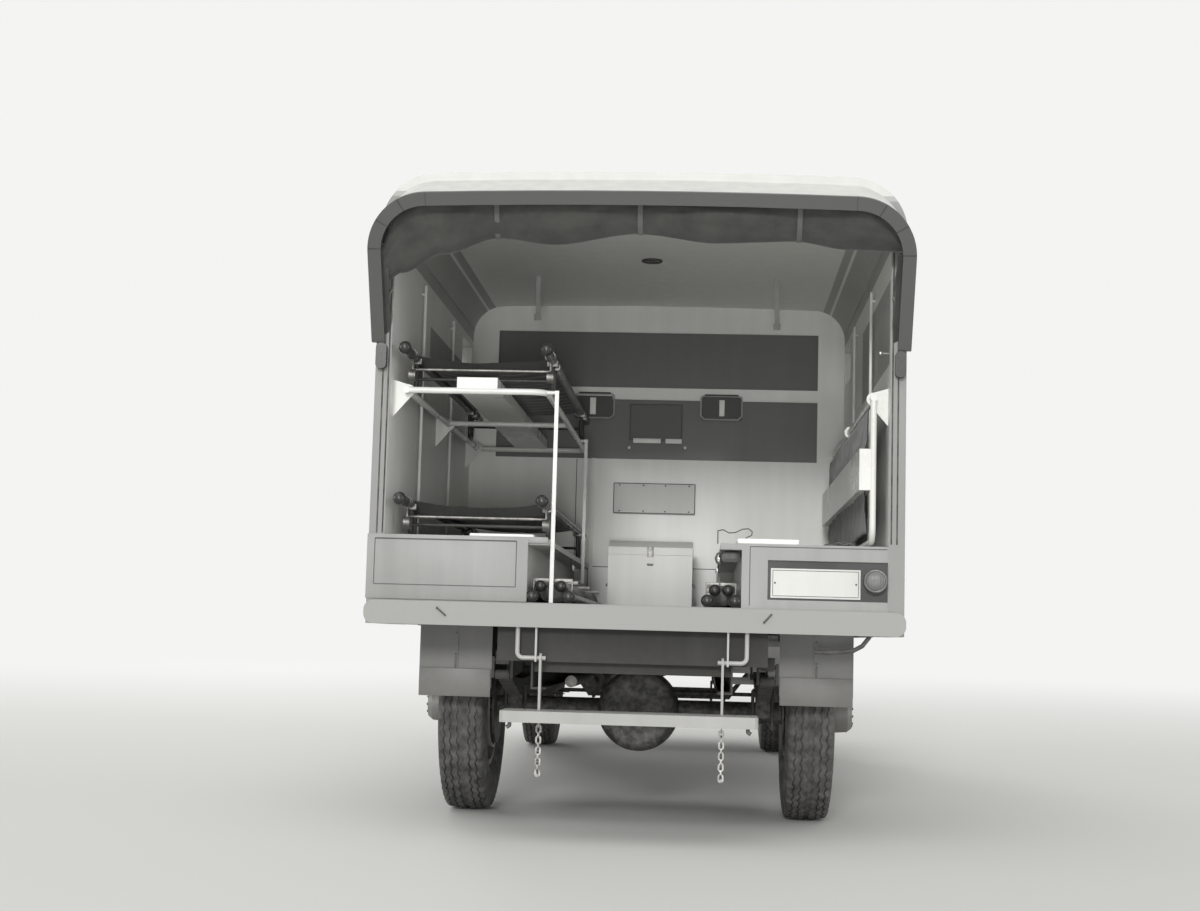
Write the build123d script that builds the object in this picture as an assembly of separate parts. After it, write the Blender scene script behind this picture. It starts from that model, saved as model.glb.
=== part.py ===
from build123d import *
import os
from math import asin, atan2, cos, degrees, hypot, radians, sin, sqrt

# Military ambulance truck, millimetres.
# Everything is drawn with the load floor level: X to the truck's right, Y forward,
# Z up, the rear axle over Y = 0 and the ground under it at Z = 0. The last step
# tips the whole truck nose down by its rake, so that all four tyres stand on Z = 0.

# Stance, wheels and tyres
wheelbase = 3404
rake = 1.5
half_track = 755
tyre_radius = 465
tyre_half_width = 107
rim_radius = 254
running_gap = 0.5
seat_gap = 0.3
free_gap = 6
front_y = wheelbase * cos(radians(rake))
front_z = tyre_radius + wheelbase * sin(radians(rake))

# Load body
tail_y = -940
body_length = 2500
nose_y = tail_y + body_length
body_half_width = 1090
side_wall = 65
end_wall = 50
inner_half_width = body_half_width - side_wall
floor_top = 920
floor_depth = 100
floor_board = 30
floor_bottom = floor_top - floor_depth
roof_top = 2712
roof_wall = 96
roof_inner_corner = 170
roof_corner = 230
roof_crown = 30000
arch_radius = 520
arch_skin = 6
arch_inner_x = 590
sill_depth = 25
waist_z = 1500
rail_proud = 8
slot_drop = 352
slot_tall = 190
slot_long = 360
slot_inset = 110

# Rear hood: its mouth leans back as it rises
hood_foot_z = roof_top - 737
hood_back = 290
hood_height = 602
hood_reach = 634
hood_wall = 30
rim_width = 54
rim_proud = 16
rim_depth = 22

# Chassis
rail_outer_x = 410
rail_flange = 60
rail_sheet = 8
rail_bottom = 570
rail_top = 720
rail_rear_y = -890
rail_front_y = 3985
web_inner_x = rail_outer_x - rail_sheet

# Cab
cab_half_width = 880
cab_wall = 40
cab_bottom = 760
cab_floor = 30
cab_roof = 2230
cab_crown = 4000
cab_scuttle_z = 1545
cowl_fall = 25
firewall_y = 2800
screen_foot_y = firewall_y - 140
screen_head_y = screen_foot_y - 100
cab_taper_y = firewall_y - 280
cowl_half_width = 430
door_rear_y = 1640
door_front_y = firewall_y - 400
door_bottom = 800
door_top = cab_roof - 170
door_gap = 6
hinge_x = cab_half_width + 12
hinge_y = door_front_y + 4

# Bonnet and radiator
bonnet_nose_y = rail_front_y - 155
bonnet_nose_top = 1450
bonnet_nose_half = 300
bonnet_foot_z = 1180
bonnet_corner = 110
bonnet_sheet = 6
hinge_gap = 8
radiator_depth = 80
grille_slats = 13

# Lockers, racks and stretchers
locker_x = 437
bench_x = 350
bench_top = 1180
bench_board = 25
locker_sheet = 18
rack_z = 1790
rack_tube = 14
rack_wall_x = inner_half_width - 61
rack_free_x = 378
rack_rear_y = -900
rack_front_y = 1400
rack_plank_near = 586
rack_plank_far = 755
rack_ear_reach = 14
stretcher_length = 2360
pole_radius = 18
stretcher_rise = 150

# Step and its chains
step_pivot_y = -930
step_pivot_z = 697
step_drop = 207
step_thick = 45
step_half = 510
step_depth = 230
arm_x = 368
link_long = 36
link_wide = 24
link_wire = 7
link_slack = 0.3
links = 9

# Steering
kingpin_x = 650
kingpin_radius = 14
steering_arm = 150
tie_rod_z = front_z - 107
beam_drop = 110


def block(x0, x1, y0, y1, z0, z1):
    middle = Pos((x0 + x1) / 2, (y0 + y1) / 2, (z0 + z1) / 2)
    return middle * Box(abs(x1 - x0), abs(y1 - y0), abs(z1 - z0))


def along_y(face, y0, y1):
    # face drawn in X, Z
    plane = Plane(origin=(0, y1, 0), x_dir=(1, 0, 0), z_dir=(0, -1, 0))
    return extrude(plane * face, amount=y1 - y0, dir=(0, -1, 0))


def along_x(face, x0, x1):
    # face drawn in Y, Z
    plane = Plane(origin=(x0, 0, 0), x_dir=(0, 1, 0), z_dir=(1, 0, 0))
    return extrude(plane * face, amount=x1 - x0, dir=(1, 0, 0))


def along_z(face, z0, z1):
    return extrude(Plane.XY.offset(z0) * face, amount=z1 - z0, dir=(0, 0, 1))


def rod(start, end, radius):
    run = Vector(*end) - Vector(*start)
    plane = Plane(origin=start, z_dir=run)
    return extrude(plane * Circle(radius), amount=run.length)


def bent_rod(points, bend, radius):
    path = FilletPolyline(*points, radius=bend)
    return sweep(Plane(origin=path @ 0, z_dir=path % 0) * Circle(radius), path=path)


def turned(profile, x, y, z):
    # solid of revolution about a line along X, profile drawn as (distance along X, radius)
    return Pos(x, y, z) * revolve(profile, Axis.X)


def flipped(shape):
    return shape.mirror(Plane.YZ)


def pair(shape):
    return [shape, flipped(shape)]


def shaft_hole(x, y, z, radius, length):
    return Pos(x, y, z) * Rot(Y=90) * Cylinder(radius, length)


# The body's cross-section: straight sides, round upper corners, a crowned roof
def body_outline(half, foot, top, corner, crown):
    corner_x = half - corner
    corner_z = top - crown + sqrt((crown - corner) ** 2 - corner_x**2)
    lean = asin(corner_x / (crown - corner))
    meet = (corner_x + corner * sin(lean), corner_z + corner * cos(lean))
    half_turn = (radians(90) + lean) / 2
    middle = (corner_x + corner * sin(half_turn), corner_z + corner * cos(half_turn))
    edges = [
        Line((-half, foot), (half, foot)),
        Line((half, foot), (half, corner_z)),
        ThreePointArc((half, corner_z), middle, meet),
        ThreePointArc(meet, (0, top), (-meet[0], meet[1])),
        ThreePointArc((-meet[0], meet[1]), (-middle[0], middle[1]), (-half, corner_z)),
        Line((-half, corner_z), (-half, foot)),
    ]
    return make_face(Curve() + edges)


def roof_spring_z():
    reach = roof_crown - roof_corner
    return roof_top - roof_crown + sqrt(reach**2 - (body_half_width - roof_corner) ** 2)


parts = {}


def node(name, *shapes):
    solids = []
    for shape in shapes:
        items = shape if isinstance(shape, (list, tuple)) else [shape]
        for item in items:
            solids.extend(item.solids())
    parts[name] = solids


# Tyres, wheels and hubs
def tyre(x, y, z):
    w = tyre_half_width
    bead = 71.5
    edges = [
        Line((-bead, rim_radius + running_gap), (bead, rim_radius + running_gap)),
        Line((bead, rim_radius + running_gap), (bead, 274)),
        ThreePointArc((bead, 274), (w, 352), (94, 440)),
        ThreePointArc((94, 440), (90, 451), (78, 457)),
        ThreePointArc((78, 457), (0, tyre_radius), (-78, 457)),
        ThreePointArc((-78, 457), (-90, 451), (-94, 440)),
        ThreePointArc((-94, 440), (-w, 352), (-bead, 274)),
        Line((-bead, 274), (-bead, rim_radius + running_gap)),
    ]
    return turned(make_face(Curve() + edges), x, y, z)


def wheel(outward, y, z, hub_reach, bore):
    # rim, dished disc with hand holes, hub and brake drum, drawn outboard along +X
    rim = Polygon(
        (-80, 270), (-72, 270), (-72, rim_radius), (72, rim_radius), (72, 270), (80, 270),
        (80, 246), (-80, 246), align=None,
    )
    disc = Polygon((20, 250), (32, 250), (62, 215), (62, 60), (50, 60), (50, 210), align=None)
    hub = Polygon(
        (-45, bore), (-45, 70), (40, 70), (62, 118), (72, 118), (72, 82), (hub_reach - 20, 74),
        (hub_reach, 58), (hub_reach, bore), align=None,
    )
    drum = Polygon(
        (-95, 176), (-95, 190), (0, 190), (40, 120), (40, 60), (28, 60), (28, 110), (-8, 176), align=None,
    )
    body = revolve(rim, Axis.X) + revolve(disc, Axis.X) + revolve(hub, Axis.X) + revolve(drum, Axis.X)
    holes = [Rot(X=360 * i / 8 + 22.5) * (Pos(45, 0, 172) * Rot(Y=90) * Cylinder(24, 60)) for i in range(8)]
    body = body - holes
    body = Pos(half_track, y, z) * body
    return body if outward > 0 else flipped(body)


# name, side, Y, Z, hub reach, bore
wheel_table = [
    ("rear_left", -1, 0, tyre_radius, 205, 30),
    ("rear_right", 1, 0, tyre_radius, 205, 30),
    ("front_left", -1, front_y, front_z, 110, 25),
    ("front_right", 1, front_y, front_z, 110, 25),
]
for name, side, y, z, reach, bore in wheel_table:
    node("tyre_" + name, tyre(side * half_track, y, z))
    node("wheel_" + name, wheel(side, y, z, reach, bore + running_gap))

# Rear axle: tubes, banjo casing, pinion nose, spring seats, brake plates and spindles
spring_x = 560
axle_tube = 48
seat_z = tyre_radius + axle_tube + 10
tube_end = half_track - 112
banjo = Pos(0, 0, tyre_radius) * Rot(X=90) * Cylinder(185, 150)
banjo = fillet(banjo.edges().filter_by(GeomType.CIRCLE), 45)
pinion = Pos(0, 150, tyre_radius) * Rot(X=-90) * Cone(95, 50, 160)
rear_axle = rod((-tube_end, 0, tyre_radius), (tube_end, 0, tyre_radius), axle_tube) + banjo + pinion
for side in (-1, 1):
    rear_axle += block(side * spring_x - 32, side * spring_x + 32, -60, 60, tyre_radius - 20, seat_z)
    rear_axle += shaft_hole(side * (half_track - 108), 0, tyre_radius, 168, 8)
    rear_axle += rod((side * tube_end, 0, tyre_radius), (side * (half_track + 60), 0, tyre_radius), 30)

# Front axle: dropped I-beam with kingpin bosses
beam_half = 35
beam_edges = [(-620, 30), (-560, 30), (-470, -75), (470, -75), (560, 30), (620, 30),
              (620, -30), (540, -30), (455, -145), (-455, -145), (-540, -30), (-620, -30)]
beam = along_y(Pos(0, front_z) * Polygon(*beam_edges, align=None), front_y - 28, front_y + 28)
pocket = Pos(0, front_z) * Polygon((-440, -87), (440, -87), (425, -133), (-425, -133), align=None)
beam -= along_y(pocket, front_y - 28, front_y - 8)
beam -= along_y(pocket, front_y + 8, front_y + 28)
for side in (-1, 1):
    beam += Pos(side * kingpin_x, front_y, front_z) * Cylinder(32, 90)
    beam += block(side * 600, side * kingpin_x, front_y - 25, front_y + 25, front_z - 30, front_z + 30)
for side in (-1, 1):
    beam -= Pos(side * kingpin_x, front_y, front_z) * Cylinder(kingpin_radius + running_gap, 120)
node("axles", rear_axle, beam)


# Steering knuckles: fork over the beam's end, kingpin, brake plate, spindle and arm
arm_end_x = kingpin_x - 30
tie_y = front_y - steering_arm


def knuckle(side):
    ear = block(kingpin_x - 30, kingpin_x + 44, front_y - 28, front_y + 28, front_z + 46, front_z + 72)
    ear += block(kingpin_x - 30, kingpin_x + 44, front_y - 28, front_y + 28, front_z - 72, front_z - 46)
    ear += block(kingpin_x + 38, kingpin_x + 52, front_y - 40, front_y + 40, front_z - 72, front_z + 72)
    ear += Pos(kingpin_x, front_y, front_z) * Cylinder(kingpin_radius, 140)
    ear += Pos(half_track - 108 + 46, front_y, front_z) * Rot(Y=90) * Cylinder(165, 6)
    ear += rod((kingpin_x + 50, front_y, front_z), (half_track + 60, front_y, front_z), 25)
    ear += rod((kingpin_x, front_y - 20, front_z - 60), (arm_end_x, tie_y, front_z - 76), 12)
    ear += Pos(arm_end_x, tie_y, front_z - 80) * Cylinder(20, 24)
    return ear if side > 0 else flipped(ear)


node("knuckle_left", knuckle(-1))
node("knuckle_right", knuckle(1))

# Tie rod between the two steering arms
tie = rod((-arm_end_x, tie_y, tie_rod_z), (arm_end_x, tie_y, tie_rod_z), 12)
for side in (-1, 1):
    tie += Pos(side * arm_end_x, tie_y, tie_rod_z) * Cylinder(18, 28)
node("tie_rod", tie)


# Leaf springs: stepped packs with rolled eyes, and a shackle at the tail of each
def leaf_pack(length, leaves, thick, camber):
    # profile in (Y, Z) about the middle of the pack's underside
    half = length / 2
    top = leaves * thick
    shortest = 1 - 0.85 * (leaves - 1) / leaves

    def lift(y):
        return camber * ((y / half) ** 2 - shortest**2)

    points = [(half, top + lift(half))]
    for k in range(leaves):
        reach = half * (1 - 0.85 * k / leaves)
        points.append((reach, top - k * thick + lift(reach)))
        points.append((reach, top - (k + 1) * thick + lift(reach)))
    right = points
    left = [(-y, z) for y, z in reversed(points)]
    edges = [ThreePointArc(left[-1], (0, top + lift(0)), right[0])]
    outline = right + left
    for a, b in zip(outline[:-1], outline[1:]):
        if hypot(a[0] - b[0], a[1] - b[1]) > 0.01:
            edges.append(Line(a, b))
    return make_face(Curve() + edges)


front_seat = front_z - beam_drop + beam_half
rear_leaves = 8
front_leaves = 6
rear_spring_length, rear_spring_width, shackle_rise = 1180, 60, 62
front_spring_x, front_spring_length, front_spring_width = 380, 900, 48
# X, Y, seat Z, length, leaves, leaf thickness, camber, width, shackle rise at the tail
rear_leaf = (spring_x, 0, seat_z, rear_spring_length, rear_leaves, 9, 34, rear_spring_width, shackle_rise)
front_leaf = (front_spring_x, front_y, front_seat, front_spring_length, front_leaves, 8, 14,
              front_spring_width, 0)


def eye_height(leaf):
    x, y, seat, length, leaves, thick, camber, width, rise = leaf
    shortest = 1 - 0.85 * (leaves - 1) / leaves
    return seat + leaves * thick + camber * (1 - shortest**2) - 8


def spring(leaf):
    x, y, seat, length, leaves, thick, camber, width, rise = leaf
    pack = along_x(Pos(y, seat) * leaf_pack(length, leaves, thick, camber), x - width / 2, x + width / 2)
    eye_z = eye_height(leaf)
    for end in (-1, 1):
        pack += shaft_hole(x, y + end * length / 2, eye_z, 20, width)
        pack += shaft_hole(x, y + end * length / 2, eye_z, 9, width + 32)
    if rise:
        tail = y - length / 2
        for edge in (-1, 1):
            plate_x = x + edge * (width / 2 + 10)
            pack += block(plate_x - 6, plate_x + 6, tail - 20, tail + 20, eye_z - 14, eye_z + rise + 14)
        pack += shaft_hole(x, tail, eye_z + rise, 9, width + 32)
    return pack


def hanger(x, y, eye_z, width, inner, top):
    # two cheeks on the spring's pin, carried by a bridge that reaches the rail
    cheeks = block(inner, x + width / 2 + 12, y - 24, y + 24, top - 22, top)
    for edge in (-1, 1):
        cheek_x = x + edge * (width / 2 + 7)
        cheeks += block(cheek_x - 5, cheek_x + 5, y - 24, y + 24, eye_z - 18, top)
    return cheeks - shaft_hole(x, y, eye_z, 9 + running_gap, width + 60)


def shackle_bracket(x, y, pin_z, width, inner, top):
    bracket = block(inner, x + width / 2, y - 24, y + 24, top - 20, top)
    bracket += block(x - width / 2 + 1, x + width / 2 - 1, y - 18, y + 18, pin_z - 18, top)
    return bracket - shaft_hole(x, y, pin_z, 9 + running_gap, width + 60)


# Chassis frame: two channel rails, crossmembers and spring hangers
channel = Polygon(
    (rail_outer_x, rail_bottom), (rail_outer_x, rail_top), (rail_outer_x - rail_flange, rail_top),
    (rail_outer_x - rail_flange, rail_top - rail_sheet), (rail_outer_x - rail_sheet, rail_top - rail_sheet),
    (rail_outer_x - rail_sheet, rail_bottom + rail_sheet),
    (rail_outer_x - rail_flange, rail_bottom + rail_sheet), (rail_outer_x - rail_flange, rail_bottom),
    align=None,
)
half_frame = along_y(channel, rail_rear_y, rail_front_y)
rear_eye_z = eye_height(rear_leaf)
front_eye_z = eye_height(front_leaf)
half_frame += hanger(spring_x, rear_spring_length / 2, rear_eye_z, rear_spring_width, rail_outer_x, rail_top)
half_frame += shackle_bracket(spring_x, -rear_spring_length / 2, rear_eye_z + shackle_rise, rear_spring_width,
                              rail_outer_x, rail_top)
for y in (front_y - front_spring_length / 2, front_y + front_spring_length / 2):
    for edge in (-1, 1):
        cheek_x = front_spring_x + edge * (front_spring_width / 2 + 7)
        half_frame += block(cheek_x - 5, cheek_x + 5, y - 24, y + 24, front_eye_z - 18, rail_bottom + 4)
    half_frame -= shaft_hole(front_spring_x, y, front_eye_z, 9 + running_gap, 90)
# Y, underside, depth in Z
crossmembers = [
    (-850, 640, 80), (-420, 660, 60), (480, 640, 80), (1150, 640, 80),
    (1750, 668, 52), (2960, 590, 30), (3620, 590, 30), (3840, 590, 110),
]
crossmember_width = 50
ladder = []
for y, low, deep in crossmembers:
    member = block(-web_inner_x, web_inner_x, y, y + crossmember_width, low, low + deep)
    ladder.append(member - pair(half_frame))
rear_panel = block(-550, 550, rail_rear_y - 8, rail_rear_y, 683, floor_bottom)
node("chassis_frame", pair(half_frame))
node("crossmembers", ladder, rear_panel)

# Hanger rods that carry the step
hanger_x = 464
hangers = []
for side in (-1, 1):
    hanger_path = [(side * hanger_x, step_pivot_y, floor_bottom), (side * hanger_x, step_pivot_y, step_pivot_z),
                   (side * (arm_x - 20), step_pivot_y, step_pivot_z)]
    plate = block(side * 384, side * 392, step_pivot_y - 15, step_pivot_y + 15, step_pivot_z - 15, floor_bottom)
    hangers.append(bent_rod(hanger_path, 24, 9) + plate)
node("step_hangers", hangers)

# Front towing eyes on the last crossmember
tow_eye_x = 300
tow_eye_half = 12
tow_pin = 20
tow_eye_y, tow_eye_z, tow_eye_radius = 4020, 600, 40
front_eye = block(tow_eye_x - tow_eye_half, tow_eye_x + tow_eye_half, crossmembers[-1][0] + crossmember_width,
                  tow_eye_y, tow_eye_z - tow_eye_radius, tow_eye_z + tow_eye_radius)
front_eye += shaft_hole(tow_eye_x, tow_eye_y, tow_eye_z, tow_eye_radius, 2 * tow_eye_half)
front_eye -= shaft_hole(tow_eye_x, tow_eye_y, tow_eye_z, tow_pin, 60)
node("towing_eyes", pair(front_eye))
node("leaf_springs", pair(spring(rear_leaf)), pair(spring(front_leaf)))

# Engine and gearbox as one plain power unit, propeller shaft, exhaust and fuel tank
engine_clearance = 140
crank_z = 700
engine = block(-170, 170, firewall_y + engine_clearance, bonnet_nose_y - engine_clearance, 620, 1120)
engine = fillet(engine.edges().filter_by(Axis.Y), 40)
gearbox_y = firewall_y - 60
engine += Pos(0, gearbox_y, crank_z) * Rot(X=90) * Cone(150, 85, 400)
node("engine_block", engine)
shaft_start = (0, gearbox_y - 204, crank_z)
shaft_end = (0, 234, tyre_radius)
shaft = rod(shaft_start, shaft_end, 36)
node("propeller_shaft", shaft)
silencer = rod((-250, 700, 570), (-250, 1130, 570), 62)
silencer = fillet(silencer.edges().filter_by(GeomType.CIRCLE), 14)
pipe = bent_rod([(-194.5, 3120, 660), (-215, 2900, 655), (-250, 2450, 570), (-250, 1120, 570)], 90, 24)
tail = bent_rod([(-250, 710, 570), (-250, 420, 570), (-250, 250, 604), (-250, -830, 604)], 120, 24)
node("exhaust", silencer + pipe + tail)
tank = block(-860, -440, 720, 1320, 500, 760)
tank = fillet(tank.edges().filter_by(Axis.Y), 50)
for y in (820, 1180):
    tank += block(-600, -rail_outer_x, y, y + 50, 690, 715)
node("fuel_tank", tank)

# Front bumper: a bowed channel
bumper_half, bumper_bow, bumper_end_y = 900, 90, rail_front_y + 25
bumper_low, bumper_high, bumper_sheet = 645, 755, 10


def bowed_strip(front, back):
    ahead, behind = bumper_end_y + front, bumper_end_y + back
    return make_face(Curve() + [
        ThreePointArc((-bumper_half, ahead), (0, ahead + bumper_bow), (bumper_half, ahead)),
        Line((bumper_half, ahead), (bumper_half, behind)),
        ThreePointArc((bumper_half, behind), (0, behind + bumper_bow), (-bumper_half, behind)),
        Line((-bumper_half, behind), (-bumper_half, ahead)),
    ])


bumper = along_z(bowed_strip(0, -bumper_sheet), bumper_low, bumper_high)
lip = bowed_strip(-5, -35)
bumper += along_z(lip, bumper_low, bumper_low + bumper_sheet)
bumper += along_z(lip, bumper_high - bumper_sheet, bumper_high)
for side in (-1, 1):
    bumper += block(side * (rail_outer_x - rail_flange), side * rail_outer_x, rail_front_y,
                    bumper_end_y + bumper_bow - 22, bumper_low + bumper_sheet, rail_top)
node("front_bumper", bumper)


# Load floor: boards on cross bearers, over two runners, with the tail sill
floor = block(-inner_half_width, inner_half_width, tail_y, nose_y, floor_top - floor_board, floor_top)
bearer_ys = [tail_y + 60 + i * 340 for i in range(8)]
for y in bearer_ys:
    floor += block(-inner_half_width, inner_half_width, y - 30, y + 30, floor_bottom, floor_top - floor_board)
for side in (-1, 1):
    floor += block(side * 350, side * rail_outer_x, rail_rear_y + 20, nose_y, rail_top, floor_top - floor_board)
sill = RectangleRounded(2 * body_half_width + 10, floor_depth - 4, 40)
floor += along_y(Pos(0, (floor_bottom + floor_top) / 2 - 2) * sill, tail_y - sill_depth, tail_y)
inside_arch = shaft_hole(0, 0, tyre_radius, arch_radius, 3000)
keep_gangway = block(-arch_inner_x, arch_inner_x, -600, 600, 700, 1200)
floor -= inside_arch - keep_gangway
node("body_floor", floor)

# Side walls with their wheel arches, front slots, waist and gutter mouldings
spring_z = roof_spring_z()
side = block(inner_half_width, body_half_width, tail_y, nose_y, floor_bottom, spring_z)
side -= inside_arch
slot_high = roof_top - slot_drop
slot_front = nose_y - slot_inset
side -= block(inner_half_width - 10, body_half_width + 10, slot_front - slot_long, slot_front,
              slot_high - slot_tall, slot_high)
for z in (floor_bottom + 20, waist_z):
    side += block(body_half_width, body_half_width + rail_proud, tail_y + 200, nose_y, z, z + 22) - inside_arch
node("body_sides", pair(side))

# Roof: rounded shoulders and a crowned top, with drip gutters
outer_roof = body_outline(body_half_width, spring_z - 200, roof_top, roof_corner, roof_crown)
inner_roof = body_outline(inner_half_width, spring_z - 400, roof_top - roof_wall, roof_inner_corner,
                          roof_crown - roof_wall)
roof = along_y(outer_roof, tail_y, nose_y) - along_y(inner_roof, tail_y - 10, nose_y + 10)
roof -= block(-2 * body_half_width, 2 * body_half_width, tail_y - 20, nose_y + 20, spring_z - 500, spring_z)
for side_sign in (-1, 1):
    roof += block(side_sign * (body_half_width - 10), side_sign * (body_half_width + 14), tail_y + 60, nose_y,
                  spring_z, spring_z + 16)
node("body_roof", roof)

# Rear hood: the body's outline carried back square to its leaning mouth
mouth_angle = degrees(atan2(hood_back, hood_height))
mouth = Plane(origin=(0, tail_y, hood_foot_z), x_dir=(1, 0, 0),
              z_dir=(0, -cos(radians(mouth_angle)), -sin(radians(mouth_angle))))


def mouth_face(inset):
    # the hood's outline in the plane of its mouth, drawn in from the outer sheet
    return body_outline(body_half_width - inset, -300, hood_reach - inset, roof_corner - inset, roof_crown)


hood = extrude(mouth * mouth_face(0), amount=-700) - extrude(mouth * mouth_face(hood_wall), amount=-720)
hood -= extrude(mouth * mouth_face(hood_wall), amount=40)
rim_face = mouth_face(-rim_proud) - mouth_face(rim_width - rim_proud)
behind_tail = block(-2 * body_half_width, 2 * body_half_width, tail_y - 600, tail_y, hood_foot_z + 2,
                    roof_top + 200)
hood = (hood & behind_tail) + (extrude(mouth * rim_face, amount=rim_depth) & behind_tail)
node("rear_hood", hood)

# Front wall of the load space, with two dark bands, a hatch and a panel in relief
wall_face = body_outline(inner_half_width, floor_top, roof_top - roof_wall, roof_inner_corner,
                         roof_crown - roof_wall)
bulkhead = along_y(wall_face, nose_y - end_wall, nose_y)
bands = [(-880, 880, 2160, 2468), (-880, 880, 1764, 2094)]
for x0, x1, z0, z1 in bands:
    bulkhead -= block(x0, x1, nose_y - end_wall - 10, nose_y - end_wall + 10, z0, z1)
reliefs = [(-140, 140, 1873, 2066, 6), (-220, 220, 1468, 1628, 14), (-450, -242, 1987, 2110, 8),
           (249, 470, 1989, 2118, 8)]
for x0, x1, z0, z1, proud in reliefs:
    back = nose_y - end_wall + (10 if z1 > 1700 else 0)
    bulkhead += block(x0, x1, back - proud - (10 if z1 > 1700 else 0), back, z0, z1)
bulkhead += block(-349, -330, nose_y - end_wall - 20, nose_y - end_wall, floor_top, 1764)
node("bulkhead", bulkhead)

# Wheel boxes inside the lockers and flaps behind the rear wheels
arch_room = block(arch_inner_x - 10, inner_half_width - running_gap, -600, 600, floor_top + running_gap, 1100)
arch_inside = shaft_hole(0, 0, tyre_radius, arch_radius - arch_skin, 3000)
arch_shape = shaft_hole(0, 0, tyre_radius, arch_radius, 3000) & arch_room
arch_ring = (arch_shape - arch_inside) & block(arch_inner_x, 1200, -600, 600, 0, 1200)
arch_wall = arch_shape & arch_inside & block(arch_inner_x, arch_inner_x + arch_skin, -600, 600, 0, 1200)
flap_y = bearer_ys[1] - 30.3
flap = block(610, 920, flap_y - 6, flap_y, 560, floor_top - floor_board - 10)
flap += block(755, 775, flap_y - 12, flap_y - 6, 570, floor_bottom)
node("mudguards", pair(arch_ring + arch_wall), pair(flap))

# Lockers with their bench tops, the right one with a recess for plate and lamp
locker_rear = tail_y + 5
bench_foot = bench_top - bench_board
locker = block(locker_x, locker_x + locker_sheet, locker_rear, nose_y - end_wall, floor_top, bench_foot)
locker += block(locker_x, inner_half_width, locker_rear, locker_rear + locker_sheet, floor_top, bench_foot)
half_sheet = locker_sheet / 2
for y in (-580, 580):
    locker += block(locker_x, inner_half_width, y - half_sheet, y + half_sheet, floor_top, bench_foot)
locker += block(bench_x, inner_half_width, locker_rear, nose_y - end_wall, bench_foot, bench_top)
tail_lamp_x = inner_half_width - 52
tail_lamp_radius = 48
plate_long = 360
recess_near = tail_lamp_x - tail_lamp_radius - plate_long - 23
recess_low, recess_high = 956, 1116
recess_depth = 10
recess = block(recess_near, inner_half_width - 1, locker_rear - 1, locker_rear + recess_depth, recess_low,
               recess_high)
panel = block(15 - inner_half_width, -locker_x - 43, locker_rear - 1, locker_rear + 4, floor_top + 49,
              bench_foot - 10)
node("lockers", locker - recess, flipped(locker) - panel)
plate = block(recess_near + 13, recess_near + 13 + plate_long, locker_rear + recess_depth - 4,
              locker_rear + recess_depth, recess_low + 9, recess_low + 128)
node("number_plate", plate)

# Lamps: two headlamps on stalks, two corner lamps and one tail lamp
guard_radius = 566
lamp_x, lamp_y, lamp_z = 560, front_y + 317, 1240
lamp_stalk_foot_z = 1010
bowl = make_face(Curve() + [
    Line((0, -85), (0, 50)),
    ThreePointArc((0, 50), (50, 46), (98, 36)),
    Line((98, 36), (110, 36)),
    Line((110, 36), (110, 14)),
    ThreePointArc((110, 14), (88, -42), (0, -85)),
])
headlamp = Pos(lamp_x, lamp_y, lamp_z) * revolve(bowl, Axis.Y)
stalk = rod((lamp_x, lamp_y - 20, lamp_stalk_foot_z), (lamp_x, lamp_y - 20, lamp_z - 60), 14)
headlamp += stalk - shaft_hole(lamp_x, front_y, front_z, guard_radius + seat_gap, 100)
corner_lamp = Pos(body_half_width - 26, hood_foot_z - 55) * RectangleRounded(44, 108, 20)
corner_lamp = along_y(corner_lamp, tail_y - 32, tail_y)
tail_lamp = Pos(tail_lamp_x, locker_rear - 8, 1040) * Rot(X=90) * Cylinder(tail_lamp_radius, 36)
node("lamps", pair(headlamp), pair(corner_lamp), tail_lamp)


# Cab: hollow shell with door openings and a two-pane screen
def cab_volume(inset, back, foot):
    w = cab_half_width - inset
    overlap_z = cab_scuttle_z - 245
    head, screen = screen_head_y - inset, screen_foot_y - inset
    upper_side = Polygon((back, overlap_z), (back, cab_roof + 40), (head, cab_roof + 40),
                         (screen, cab_scuttle_z), (screen, overlap_z), align=None)
    upper = along_x(upper_side, -cab_half_width, cab_half_width)
    cab_corner = 130 - inset
    upper &= along_y(body_outline(w, overlap_z - 100, cab_roof - inset, cab_corner, cab_crown), back - 5, 3000)
    scuttle, cowl_y, cowl_x = cab_scuttle_z - inset, firewall_y - inset, cowl_half_width - inset
    lower_side = Polygon((back, foot), (back, scuttle), (screen_foot_y, scuttle), (cowl_y, scuttle - cowl_fall),
                         (cowl_y, foot), align=None)
    plan = Polygon((-w, back - 5), (w, back - 5), (w, cab_taper_y), (cowl_x, firewall_y), (-cowl_x, firewall_y),
                   (-w, cab_taper_y), align=None)
    lower = along_x(lower_side, -cab_half_width, cab_half_width) & along_z(plan, 500, 2000)
    return upper + lower


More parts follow.
